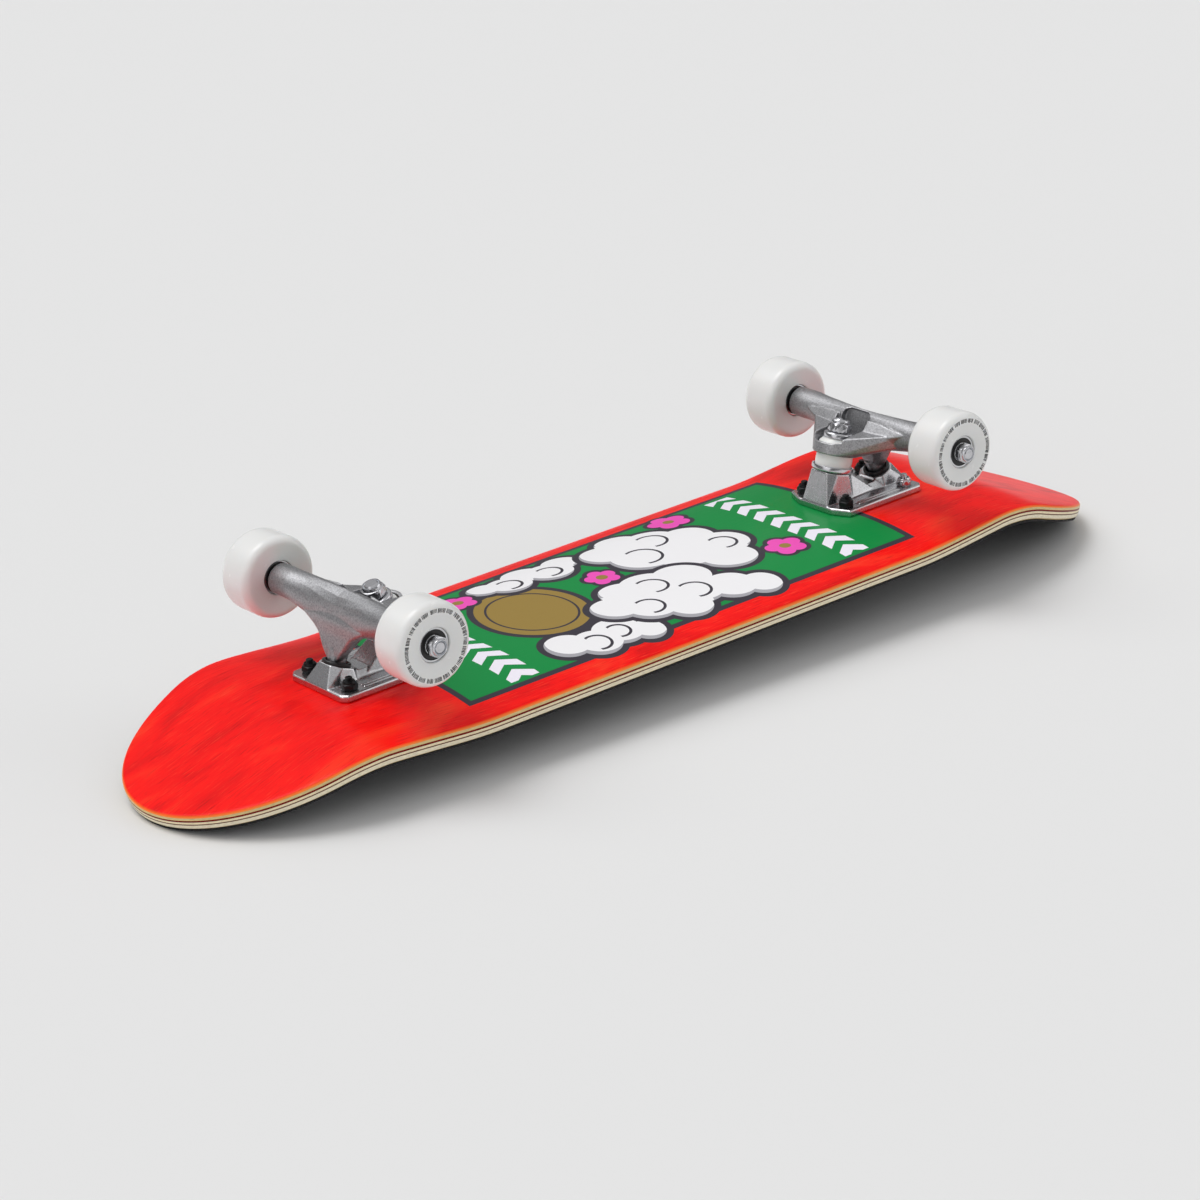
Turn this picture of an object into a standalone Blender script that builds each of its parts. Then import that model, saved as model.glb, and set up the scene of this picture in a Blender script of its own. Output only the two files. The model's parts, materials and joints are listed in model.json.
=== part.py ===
"""Skateboard, lying wheels up on its nose and tail.

Frames: the board frame has its origin midway between the trucks on the flat part of the deck's
painted face, +X to the nose, +Z out of the painted face. Each truck frame has its origin at the
middle of the truck's four mounting holes, +X toward the middle of the board. The "board" empty
carries everything; it tips the board until nose and tail both touch the floor, and puts the world
origin on the floor under the middle of the bounding box.

Sizes are in millimetres and angles in degrees; the mesh helpers turn them into metres.
"""
import math

import bmesh
import bpy
from mathutils import Matrix, Vector

MM = 0.001

# ---------------------------------------------------------------- clearances
SEAT_GAP = 0.3           # between two surfaces that touch on the real board
RUNNING_GAP = 0.08       # between a bearing's bore and the axle
HOLE_GAP = 0.35          # between a bolt and the hole that it passes through

# ---------------------------------------------------------------- deck
DECK_WIDTH = 194.0
DECK_THICKNESS = 10.6
DECK_EDGE_CHAMFER = 2.4
TAIL_LENGTH = 380.8      # along the deck's face, from the middle of the board to the tip
NOSE_LENGTH = 409.8
TAIL_KICK_START = 255.3
NOSE_KICK_START = 253.4
TAIL_KICK_ANGLE = 17.8
NOSE_KICK_ANGLE = 22.6
KICK_BEND_RADIUS = 123.0
TAIL_TAPER_START = 230.5  # where the outline starts to narrow
NOSE_TAPER_START = 220.8
TAIL_TAPER_POWER = 2.36
NOSE_TAPER_POWER = 2.16
OUTLINE_ROUNDNESS = 2.0
CONCAVE_DEPTH = 8.7      # how far the side edges sit from the flat middle
CONCAVE_AT_KICK = 3.4
CONCAVE_FADE_LENGTH = 88.0
CONCAVE_FADE_PAST_KICK = 9.0
FLAT_HALF_WIDTH = 28.0   # flat strip that the trucks stand on
GRIP_THICKNESS = 1.0

# ---------------------------------------------------------------- truck spacing and bolts
TRUCK_SPACING = 414.5    # between the middles of the two hole patterns
HOLE_SPACING_X = 53.98
HOLE_SPACING_Y = 41.28
BOLT_RADIUS = 2.4
BOLT_TIP_HEIGHT = 13.0   # above the deck's face
BOLT_HEAD_RADIUS = 4.6
BOLT_HEAD_HEIGHT = 2.6
BOLT_NUT_FLATS = 9.5
BOLT_NUT_HEIGHT = 5.6

# ---------------------------------------------------------------- baseplate
PLATE_THICKNESS = 4.6
PLATE_OUTER_END = 37.6   # from the hole pattern's middle toward the board's end
PLATE_INNER_END = 37.4   # toward the board's middle
PLATE_HALF_WIDTH = 29.3
PLATE_INNER_CHAMFER = (5.8, 13.2)
PLATE_OUTER_CHAMFER = (3.6, 4.2)
TOWER_HALF_WIDTH = 12.5
SADDLE_HEIGHT = 9.0

# ---------------------------------------------------------------- kingpin and bushings
KINGPIN_FOOT = 27.2      # where the kingpin's axis meets the deck's face
KINGPIN_LEAN = 17.0
KINGPIN_RADIUS = 4.7
KINGPIN_START = 4.4      # these places are distances along the kingpin from its foot
KINGPIN_HEAD_HEIGHT = 5.6
KINGPIN_HEAD_FLATS = 14.2
KINGPIN_LENGTH = 56.0
KINGPIN_NUT_FLATS = 14.2
KINGPIN_NUT_HEIGHT = 8.2
TOWER_TOP = 24.2
ROAD_WASHER_RADIUS = 10.2
WASHER_THICKNESS = 1.5
WASHER_RIM_HEIGHT = 2.4
WASHER_RIM_WALL = 1.1
BOARD_BUSHING_RADIUS = 12.4
BOARD_WASHER_RADIUS = BOARD_BUSHING_RADIUS + 1.8     # its rim stands round the bushing
BOARD_BUSHING_LENGTH = 11.4
ROAD_BUSHING_WIDE_RADIUS = 12.3
ROAD_BUSHING_NARROW_RADIUS = 8.6
ROAD_BUSHING_LENGTH = 7.8
RING_SEAT_BOARD_RADIUS = BOARD_BUSHING_RADIUS + 0.8
RING_SEAT_ROAD_RADIUS = ROAD_BUSHING_WIDE_RADIUS + 1.0
RING_RADIUS = max(RING_SEAT_BOARD_RADIUS + 2.5, RING_SEAT_ROAD_RADIUS + 2.4)
RING_WEB = 3.4           # thickness of the hanger between the two bushings
RING_DEPTH_BOARD = 1.5   # depth of the bushing seat on each side of the web
RING_DEPTH_ROAD = 4.9
RING_HOLE_RADIUS = 7.3

# ---------------------------------------------------------------- pivot
PIVOT_X = -22.7          # middle of the ball at the end of the hanger's nose
PIVOT_Z = 9.9
PIVOT_LEAN = 20.0
PIVOT_BALL_RADIUS = 5.4
NOSE_MOUTH_RADIUS = 6.0
CUP_BODY_RADIUS = 7.5
CUP_FLANGE_RADIUS = 9.2
CUP_DEPTH = 7.0
CUP_FLANGE_START = 4.5   # along the pivot's axis from the ball's middle
CUP_FLANGE_END = 6.3
CUP_MOUTH_RADIUS = 7.6

# ---------------------------------------------------------------- hanger and axle
AXLE_X = -12.4
AXLE_HEIGHT = 49.85
AXLE_RADIUS = 3.97
AXLE_HALF_LENGTH = 99.6
BEAM_END_RADIUS = 10.2
BEAM_COLLAR_RADIUS = 7.4
BEAM_COLLAR_LENGTH = 1.4
NUT_POCKET_REACH = 17.5  # from the kingpin's axis to the flat behind the nut
NUT_POCKET_HALF_WIDTH = RING_SEAT_ROAD_RADIUS + 0.2

# ---------------------------------------------------------------- wheels and bearings
WHEEL_RADIUS = 26.95
WHEEL_WIDTH = 28.5
WHEEL_CENTRE_Y = 80.8
WHEEL_EDGE_WIDTH = 6.05
WHEEL_EDGE_DEPTH = 4.46
WHEEL_FACE_DISH = 1.3    # the side face sinks this much toward the bore
WHEEL_CORE_RADIUS = 9.6
BEARING_RADIUS = 11.0
BEARING_WIDTH = 7.0
SPACER_LENGTH = 9.6
SPACER_RADIUS = 5.4
SPEED_WASHER = 1.0
AXLE_NUT_FLATS = 12.7
AXLE_NUT_HEIGHT = 5.4

# ---------------------------------------------------------------- facets round each piece
WHEEL_SIDES = 24
ROUND_SIDES = 24
BUSHING_SIDES = 16
SMALL_SIDES = 12
CUP_SIDES = 16


# ================================================================ scene and materials
def clear_scene():
    for old in list(bpy.data.objects):
        bpy.data.objects.remove(old)


def make_material(name, colour, roughness, metallic):
    material = bpy.data.materials.new(name)
    material.use_nodes = True
    shader = material.node_tree.nodes["Principled BSDF"]
    shader.inputs["Base Color"].default_value = (*colour, 1.0)
    shader.inputs["Roughness"].default_value = roughness
    shader.inputs["Metallic"].default_value = metallic
    return material


def make_materials():
    return {
        "stained_maple": make_material("stained_maple", (0.80, 0.01, 0.01), 0.35, 0.0),
        "grip": make_material("grip", (0.012, 0.012, 0.013), 0.95, 0.0),
        "cast_aluminium": make_material("cast_aluminium", (0.42, 0.42, 0.43), 0.5, 1.0),
        "polished_aluminium": make_material("polished_aluminium", (0.55, 0.55, 0.56), 0.3, 1.0),
        "zinc_steel": make_material("zinc_steel", (0.62, 0.62, 0.63), 0.25, 1.0),
        "black_steel": make_material("black_steel", (0.015, 0.015, 0.016), 0.4, 0.3),
        "black_shield": make_material("black_shield", (0.01, 0.01, 0.01), 0.45, 0.0),
        "black_urethane": make_material("black_urethane", (0.012, 0.012, 0.012), 0.5, 0.0),
        "white_urethane": make_material("white_urethane", (0.82, 0.82, 0.81), 0.28, 0.0),
        "bushing_urethane": make_material("bushing_urethane", (0.78, 0.78, 0.77), 0.35, 0.0),
    }


def make_empty(name, parent, matrix):
    empty = bpy.data.objects.new(name, None)
    bpy.context.collection.objects.link(empty)
    empty.parent = parent
    empty.matrix_local = matrix
    return empty


def make_object(name, mesh, material, parent=None, matrix=None):
    piece = bpy.data.objects.new(name, mesh)
    bpy.context.collection.objects.link(piece)
    if material is not None and not mesh.materials:
        mesh.materials.append(material)
    piece.parent = parent
    if matrix is not None:
        piece.matrix_local = matrix
    return piece


def make_guide(name, mesh, parent=None, matrix=None):
    """A shape that only cuts or joins another one; it isn't a piece of the board."""
    guide = make_object(name, mesh, None, parent, matrix)
    guide.hide_render = True
    guide.display_type = "WIRE"
    return guide


def add_boolean(target, guide, operation):
    modifier = target.modifiers.new(operation.lower(), "BOOLEAN")
    modifier.operation = operation
    modifier.solver = "EXACT"
    modifier.object = guide


def place(x, y, z, turn_y=0.0, turn_z=0.0):
    """A matrix from millimetres and degrees: turned about Z, then about Y, then moved."""
    turn = Matrix.Rotation(math.radians(turn_z), 4, "Z") @ Matrix.Rotation(math.radians(turn_y), 4, "Y")
    return Matrix.Translation(Vector((x, y, z)) * MM) @ turn


# ================================================================ mesh helpers
def finish_mesh(name, bm, smooth_angle):
    bmesh.ops.recalc_face_normals(bm, faces=bm.faces)
    bmesh.ops.scale(bm, vec=(MM, MM, MM), verts=bm.verts)
    mesh = bpy.data.meshes.new(name)
    bm.to_mesh(mesh)
    bm.free()
    if smooth_angle:
        mesh.shade_smooth()
        mesh.set_sharp_from_angle(angle=math.radians(smooth_angle))
    return mesh


def add_split_quad(bm, low_a, low_b, high_b, high_a):
    """Two triangles that share the diagonal from the low corner nearer the centre line.

    Two sheets that follow each other are split the same way, so the gap between them stays even.
    """
    if abs(low_a.co.y) <= abs(low_b.co.y):
        bm.faces.new((low_a, low_b, high_b))
        bm.faces.new((low_a, high_b, high_a))
    else:
        bm.faces.new((low_b, high_b, high_a))
        bm.faces.new((low_b, high_a, low_a))


def skin_mesh(name, loops, ring=False, smooth_angle=40.0, split=False):
    """A closed body from loops with the same number of points: capped, or joined last to first."""
    bm = bmesh.new()
    rows = [[bm.verts.new(point) for point in loop] for loop in loops]
    pairs = list(zip(rows, rows[1:]))
    if ring:
        pairs.append((rows[-1], rows[0]))
    for low, high in pairs:
        for index in range(len(low)):
            after = (index + 1) % len(low)
            corners = (low[index], low[after], high[after], high[index])
            if split:
                add_split_quad(bm, *corners)
            else:
                bm.faces.new(corners)
    if not ring:
        bm.faces.new(rows[0])
        bm.faces.new(rows[-1])
    return finish_mesh(name, bm, smooth_angle)


def hull_mesh(name, points):
    bm = bmesh.new()
    for point in points:
        bm.verts.new(point)
    result = bmesh.ops.convex_hull(bm, input=bm.verts)
    loose = [item for item in result["geom_interior"] if isinstance(item, bmesh.types.BMVert)]
    bmesh.ops.delete(bm, geom=loose, context="VERTS")
    return finish_mesh(name, bm, 30.0)


def circle(radius, height, sides):
    step = 2 * math.pi / sides
    return [(radius * math.cos(i * step), radius * math.sin(i * step), height) for i in range(sides)]


def hexagon(flats, height, sides):
    """A hexagon with the same number of points as a circle of that many sides; flats face +-X."""
    points = []
    for i in range(sides):
        angle = 2 * math.pi * i / sides
        from_flat = (angle + math.pi / 6) % (math.pi / 3) - math.pi / 6
        radius = flats / 2 / math.cos(from_flat)
        points.append((radius * math.cos(angle), radius * math.sin(angle), height))
    return points


def turned_mesh(name, profile, sides, ring=False):
    """A turned body about Z from (radius, height) points; a ring when it has a bore."""
    return skin_mesh(name, [circle(radius, height, sides) for radius, height in profile], ring)


def tube_profile(bore, radius, low, high):
    return [(bore, low), (radius, low), (radius, high), (bore, high)]


def nut_mesh(name, flats, bore, height, sides):
    """A lock nut: a hexagon below and a round collar, which holds the nylon ring, on top."""
    collar = flats * 0.44
    shoulder = height * 0.68
    loops = [
        circle(bore, 0, sides),
        hexagon(flats, 0, sides),
        hexagon(flats, shoulder, sides),
        circle(collar, shoulder, sides),
        circle(collar, height, sides),
        circle(bore, height, sides),
    ]
    return skin_mesh(name, loops, ring=True)


# ================================================================ deck
class DeckEnd:
    """One half of the deck, from the middle of the board out to one tip."""

    def __init__(self, sign, length, kick_start, kick_angle, taper_start, taper_power):
        self.sign = sign
        self.length = length
        self.kick_start = kick_start
        self.kick_angle = math.radians(kick_angle)
        self.taper_start = taper_start
        self.taper_power = taper_power

    def profile(self, s):
        """Distance out, height and slope of the face at arc length s from the middle."""
        bend_length = KICK_BEND_RADIUS * self.kick_angle
        if s <= self.kick_start:
            return s, 0.0, 0.0
        slope = min((s - self.kick_start) / KICK_BEND_RADIUS, self.kick_angle)
        out = self.kick_start + KICK_BEND_RADIUS * math.sin(slope)
        height = -KICK_BEND_RADIUS * (1 - math.cos(slope))
        straight = max(0.0, s - self.kick_start - bend_length)
        return out + straight * math.cos(slope), height - straight * math.sin(slope), slope

    def half_width(self, s):
        along = max(0.0, (s - self.taper_start) / (self.length - self.taper_start))
        return DECK_WIDTH / 2 * max(0.0, 1 - along ** self.taper_power) ** (1 / OUTLINE_ROUNDNESS)

    def concave(self, s):
        fade_end = self.kick_start + CONCAVE_FADE_PAST_KICK
        fade = (s - fade_end + CONCAVE_FADE_LENGTH) / CONCAVE_FADE_LENGTH
        fade = min(1.0, max(0.0, fade))
        fade = fade * fade * (3 - 2 * fade)
        return CONCAVE_DEPTH + (CONCAVE_AT_KICK - CONCAVE_DEPTH) * fade

    def point(self, s, y, depth):
        """A point at arc length s, side distance y and depth below the painted face."""
        out, height, slope = self.profile(s)
        side = max(0.0, abs(y) - FLAT_HALF_WIDTH) / (DECK_WIDTH / 2 - FLAT_HALF_WIDTH)
        out -= depth * math.sin(slope)
        height -= depth * math.cos(slope) + self.concave(s) * side ** 2
        return (self.sign * out, y, height)

    def stations(self):
        """Arc lengths of the rows of points: close together where the shape turns."""
        last_width_share = 0.985
        flat = [60.0, 120.0]
        fade_start = self.kick_start + CONCAVE_FADE_PAST_KICK - CONCAVE_FADE_LENGTH
        fade = [fade_start + (self.kick_start - fade_start) * i / 4 for i in range(5)]
        bend_end = self.kick_start + KICK_BEND_RADIUS * self.kick_angle
        bend = [self.kick_start + (bend_end - self.kick_start) * i / 4 for i in range(1, 5)]
        tip = []
        steps = 8
        for i in range(1, steps + 1):
            share = math.sin(i / steps * math.asin(last_width_share))
            tip.append(bend_end + (self.length - bend_end) * share)
        return [s for s in flat if s < fade_start - 10] + fade + bend + tip


TAIL = DeckEnd(-1, TAIL_LENGTH, TAIL_KICK_START, TAIL_KICK_ANGLE, TAIL_TAPER_START, TAIL_TAPER_POWER)
NOSE = DeckEnd(1, NOSE_LENGTH, NOSE_KICK_START, NOSE_KICK_ANGLE, NOSE_TAPER_START, NOSE_TAPER_POWER)


def sheet_loop(end, s, top, bottom, inset, chamfer):
    """The closed outline of a board-shaped sheet across the board at arc length s."""
    half = end.half_width(s) - inset
    face = half - chamfer
    shares = (-1.0, -0.64, -0.29, 0.29, 0.64, 1.0)
    loop = [end.point(s, share * face, top) for share in shares]
    if chamfer:
        loop += [end.point(s, half, top + chamfer), end.point(s, half, bottom - chamfer)]
    loop += [end.point(s, -share * face, bottom) for share in shares]
    if chamfer:
        loop += [end.point(s, -half, bottom - chamfer), end.point(s, -half, top + chamfer)]
    return loop


def board_sheet_mesh(name, top, bottom, inset, chamfer):
    loops = [sheet_loop(TAIL, s, top, bottom, inset, chamfer) for s in reversed(TAIL.stations())]
    loops.append(sheet_loop(NOSE, 0.0, top, bottom, inset, chamfer))
    loops += [sheet_loop(NOSE, s, top, bottom, inset, chamfer) for s in NOSE.stations()]
    return skin_mesh(name, loops, smooth_angle=35.0, split=True)


def bolt_places():
    half_x = HOLE_SPACING_X / 2
    half_y = HOLE_SPACING_Y / 2
    return [(half_x, half_y), (half_x, -half_y), (-half_x, -half_y), (-half_x, half_y)]


def make_deck(board, trucks, materials):
    grip_top = DECK_THICKNESS + SEAT_GAP
    deck_mesh = board_sheet_mesh("deck", 0.0, DECK_THICKNESS, 0.0, DECK_EDGE_CHAMFER)
    deck = make_object("deck", deck_mesh, materials["stained_maple"], board)
    grip_mesh = board_sheet_mesh(
        "grip_tape", grip_top, grip_top + GRIP_THICKNESS, DECK_EDGE_CHAMFER, 0.0)
    grip = make_object("grip_tape", grip_mesh, materials["grip"], board)

    hole = BOLT_RADIUS + HOLE_GAP
    head = BOLT_HEAD_RADIUS + SEAT_GAP
    bottom = grip_top + GRIP_THICKNESS
    cone_top = bottom - BOLT_HEAD_HEIGHT - SEAT_GAP
    profile = [(hole, 5.0), (hole, -cone_top), (head, -cone_top - (head - hole)), (head, -bottom - 5.0)]
    cutter_mesh = turned_mesh("bolt_hole", profile, SMALL_SIDES)
    for truck in trucks:
        for x, y in bolt_places():
            cutter = make_guide("bolt_hole_cutter", cutter_mesh, truck, place(x, y, 0))
            add_boolean(deck, cutter, "DIFFERENCE")
            add_boolean(grip, cutter, "DIFFERENCE")


def resting_tilt():
    """Tip of the board that brings the riding side of nose and tail to the same height."""
    lowest = DECK_THICKNESS + SEAT_GAP + GRIP_THICKNESS
    tail = TAIL.point(TAIL.stations()[-1], 0.0, lowest)
    nose = NOSE.point(NOSE.stations()[-1], 0.0, lowest)
    return math.degrees(math.atan2(nose[2] - tail[2], nose[0] - tail[0]))


# ================================================================ truck: baseplate and kingpin
def kingpin_point(distance):
    lean = math.radians(KINGPIN_LEAN)
    return Vector((KINGPIN_FOOT - distance * math.sin(lean), 0.0, distance * math.cos(lean)))


def kingpin_frame(distance):
    """Origin on the kingpin at that distance from its foot, +Z along it toward its nut."""
    return place(*kingpin_point(distance), turn_y=-KINGPIN_LEAN)


def pivot_frame():
    """Origin at the middle of the pivot ball, +Z out of the cup's mouth."""
    return place(PIVOT_X, 0.0, PIVOT_Z, turn_y=PIVOT_LEAN)


def in_frame(frame, x, y, z):
    """A point given in a frame, in millimetres of the frame's parent."""
    return tuple((frame @ (Vector((x, y, z)) * MM)) / MM)


WASHER_START = TOWER_TOP + SEAT_GAP
BOARD_BUSHING_START = WASHER_START + WASHER_THICKNESS + SEAT_GAP
WEB_START = BOARD_BUSHING_START + BOARD_BUSHING_LENGTH + SEAT_GAP
WEB_END = WEB_START + RING_WEB
RING_START = WEB_START - RING_DEPTH_BOARD
RING_END = WEB_END + RING_DEPTH_ROAD
RING_MIDDLE = (WEB_START + WEB_END) / 2
ROAD_BUSHING_START = WEB_END + SEAT_GAP
ROAD_WASHER_START = ROAD_BUSHING_START + ROAD_BUSHING_LENGTH + SEAT_GAP
KINGPIN_NUT_START = ROAD_WASHER_START + WASHER_THICKNESS + SEAT_GAP


def plate_outline(height):
    inner_x, inner_y = PLATE_INNER_CHAMFER
    outer_x, outer_y = PLATE_OUTER_CHAMFER
    side = [
        (PLATE_INNER_END, PLATE_HALF_WIDTH - inner_y),
        (PLATE_INNER_END - inner_x, PLATE_HALF_WIDTH),
        (-PLATE_OUTER_END + outer_x, PLATE_HALF_WIDTH),
        (-PLATE_OUTER_END, PLATE_HALF_WIDTH - outer_y),
    ]
    return [(x, y, height) for x, y in side] + [(x, -y, height) for x, y in reversed(side)]


def mirror_loop(side):
    """A loop from the points on its +Y side."""
    return side + [(x, -y, z) for x, y, z in reversed(side)]


def tower_mesh():
    half = TOWER_HALF_WIDTH
    foot = [(PLATE_INNER_END - 0.5, half - 0.5), (29.0, half), (13.0, half), (-8.0, half - 1.0)]
    top_frame = kingpin_frame(TOWER_TOP)
    top = [(12.0, 7.6), (5.2, 11.2), (-5.4, 11.2), (-10.4, 8.0)]
    loops = [
        mirror_loop([(x, y, 1.0) for x, y in foot]),
        mirror_loop([(x, y, PLATE_THICKNESS) for x, y in foot]),
        mirror_loop([in_frame(top_frame, x, y, 0.0) for x, y in top]),
    ]
    return skin_mesh("tower", loops)


def pivot_housing_mesh():
    half = TOWER_HALF_WIDTH
    foot = [(-8.0, half - 1.0), (-16.0, half + 1.0), (-30.0, half + 0.5)]
    foot.append((-PLATE_OUTER_END + 0.3, half - 1.0))
    frame = pivot_frame()
    top_height = CUP_FLANGE_START - SEAT_GAP
    top = [(9.6, 7.0), (5.5, 11.0), (-3.0, 11.0), (-8.8, 5.8)]
    loops = [
        mirror_loop([(x, y, 1.0) for x, y in foot]),
        mirror_loop([(x, y, PLATE_THICKNESS) for x, y in foot]),
        mirror_loop([in_frame(frame, x, y, top_height) for x, y in top]),
    ]
    return skin_mesh("pivot_housing", loops)


def saddle_mesh():
    half = TOWER_HALF_WIDTH
    points = []
    for x in (-13.0, 13.0):
        for side in (-1, 1):
            points += [(x, side * half, 1.0), (x, side * half, PLATE_THICKNESS)]
            points.append((x, side * (half - 4.0), SADDLE_HEIGHT))
    return hull_mesh("saddle", points)


def baseplate_mesh():
    rim = [(x * 0.985, y * 0.98, z) for x, y, z in plate_outline(PLATE_THICKNESS)]
    loops = [plate_outline(0.0), plate_outline(PLATE_THICKNESS - 0.7), rim]
    return skin_mesh("baseplate", loops)


def make_baseplate(end_name, truck, materials):
    baseplate = make_object(
        end_name + "_baseplate", baseplate_mesh(), materials["polished_aluminium"], truck,
        place(0, 0, SEAT_GAP))
    blocks = (("tower", tower_mesh()), ("housing", pivot_housing_mesh()), ("saddle", saddle_mesh()))
    for label, mesh in blocks:
        add_boolean(baseplate, make_guide(f"{end_name}_{label}", mesh, truck), "UNION")

    shank = turned_mesh(
        "kingpin_bore", [(KINGPIN_RADIUS + SEAT_GAP, 0), (KINGPIN_RADIUS + SEAT_GAP, 40)], ROUND_SIDES)
    head_flats = KINGPIN_HEAD_FLATS + 2 * SEAT_GAP
    head_top = KINGPIN_START + KINGPIN_HEAD_HEIGHT + SEAT_GAP
    head_rows = [hexagon(head_flats, height, SMALL_SIDES) for height in (-8, head_top)]
    head = skin_mesh("head_pocket", head_rows)
    cup_wall = CUP_BODY_RADIUS + SEAT_GAP
    cup = turned_mesh("cup_pocket", [(cup_wall, -CUP_DEPTH - SEAT_GAP), (cup_wall, 12)], CUP_SIDES)
    add_boolean(baseplate, make_guide("kingpin_bore_cutter", shank, truck, kingpin_frame(0)), "DIFFERENCE")
    add_boolean(baseplate, make_guide("head_pocket_cutter", head, truck, kingpin_frame(0)), "DIFFERENCE")
    add_boolean(baseplate, make_guide("cup_pocket_cutter", cup, truck, pivot_frame()), "DIFFERENCE")
    bolt_bore = BOLT_RADIUS + HOLE_GAP
    hole = turned_mesh("plate_hole", [(bolt_bore, -5), (bolt_bore, 20)], SMALL_SIDES)
    for x, y in bolt_places():
        add_boolean(baseplate, make_guide("plate_hole_cutter", hole, truck, place(x, y, 0)), "DIFFERENCE")


def make_kingpin(end_name, truck, materials):
    frame = kingpin_frame(KINGPIN_START)
    head = KINGPIN_HEAD_HEIGHT
    loops = [
        hexagon(KINGPIN_HEAD_FLATS, 0, SMALL_SIDES),
        hexagon(KINGPIN_HEAD_FLATS, head, SMALL_SIDES),
        circle(KINGPIN_RADIUS, head, SMALL_SIDES),
        circle(KINGPIN_RADIUS, KINGPIN_LENGTH - 0.8, SMALL_SIDES),
        circle(KINGPIN_RADIUS - 0.8, KINGPIN_LENGTH, SMALL_SIDES),
    ]
    make_object(end_name + "_kingpin", skin_mesh("kingpin", loops), materials["zinc_steel"], truck, frame)
    bore = KINGPIN_RADIUS + SEAT_GAP
    nut = nut_mesh("kingpin_nut", KINGPIN_NUT_FLATS, bore, KINGPIN_NUT_HEIGHT, SMALL_SIDES)
    make_object(
        end_name + "_kingpin_nut", nut, materials["zinc_steel"], truck, kingpin_frame(KINGPIN_NUT_START))


def cup_washer_mesh(name, radius):
    """A washer with a rim that holds the bushing; the rim stands toward +Z."""
    bore = (KINGPIN_RADIUS + SEAT_GAP) / math.cos(math.pi / BUSHING_SIDES)
    rim = radius - WASHER_RIM_WALL
    top = WASHER_THICKNESS + WASHER_RIM_HEIGHT
    profile = [
        (bore, 0), (radius - 0.8, 0), (radius, 0.8), (radius, top), (rim, top),
        (rim, WASHER_THICKNESS), (bore, WASHER_THICKNESS),
    ]
    return turned_mesh(name, profile, BUSHING_SIDES, ring=True)


def make_bushings(end_name, truck, materials):
    bore = (KINGPIN_RADIUS + SEAT_GAP) / math.cos(math.pi / BUSHING_SIDES)
    board_washer = cup_washer_mesh("board_side_washer", BOARD_WASHER_RADIUS)
    road_washer = cup_washer_mesh("road_side_washer", ROAD_WASHER_RADIUS)
    turned_over = Matrix.Rotation(math.pi, 4, "X")
    make_object(
        end_name + "_board_side_washer", board_washer, materials["zinc_steel"], truck,
        kingpin_frame(WASHER_START))
    make_object(
        end_name + "_road_side_washer", road_washer, materials["zinc_steel"], truck,
        kingpin_frame(ROAD_WASHER_START + WASHER_THICKNESS) @ turned_over)

    length = BOARD_BUSHING_LENGTH
    radius = BOARD_BUSHING_RADIUS
    barrel = [(bore, 0), (radius - 0.8, 0), (radius, 0.8), (radius, length - 0.8), (radius - 0.8, length),
              (bore, length)]
    make_object(
        end_name + "_board_side_bushing", turned_mesh("board_side_bushing", barrel, BUSHING_SIDES, True),
        materials["bushing_urethane"], truck, kingpin_frame(BOARD_BUSHING_START))

    length = ROAD_BUSHING_LENGTH
    wide = ROAD_BUSHING_WIDE_RADIUS
    narrow = ROAD_BUSHING_NARROW_RADIUS
    neck = length - WASHER_RIM_HEIGHT - SEAT_GAP
    cone = [(bore, 0), (wide - 0.8, 0), (wide, 0.8), (wide, 2.4), (narrow, neck), (narrow, length),
            (bore, length)]
    make_object(
        end_name + "_road_side_bushing", turned_mesh("road_side_bushing", cone, BUSHING_SIDES, True),
        materials["bushing_urethane"], truck, kingpin_frame(ROAD_BUSHING_START))


def make_pivot_cup(end_name, truck, materials):
    ball = PIVOT_BALL_RADIUS + SEAT_GAP + 0.1
    body = CUP_BODY_RADIUS
    bowl = [(ball * math.cos(a), -ball * math.sin(a)) for a in (math.radians(d) for d in (5, 30, 55, 78))]
    profile = [(CUP_MOUTH_RADIUS, CUP_FLANGE_END)] + bowl + [(0.8, -ball)]
    profile += [(0.8, -CUP_DEPTH), (body - 0.8, -CUP_DEPTH), (body, -CUP_DEPTH + 0.8)]
    profile += [(body, CUP_FLANGE_START), (CUP_FLANGE_RADIUS, CUP_FLANGE_START)]
    profile += [(CUP_FLANGE_RADIUS, CUP_FLANGE_END - 0.5), (CUP_FLANGE_RADIUS - 0.5, CUP_FLANGE_END)]
    mesh = turned_mesh("pivot_cup", profile, CUP_SIDES, ring=True)
    make_object(end_name + "_pivot_cup", mesh, materials["black_urethane"], truck, pivot_frame())


# ================================================================ truck: hanger
def beam_section(y, mix, angles, middle):
    """One section across the hanger; mix 0 is the round end, 1 is the section in the middle."""
    loop = []
    for angle, (x, z) in zip(angles, middle):
        turn = math.radians(angle)
        round_x = AXLE_X + BEAM_END_RADIUS * math.cos(turn)
        round_z = AXLE_HEIGHT + BEAM_END_RADIUS * math.sin(turn)
        loop.append((round_x + (x - round_x) * mix, y, round_z + (z - round_z) * mix))
    return loop


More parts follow.
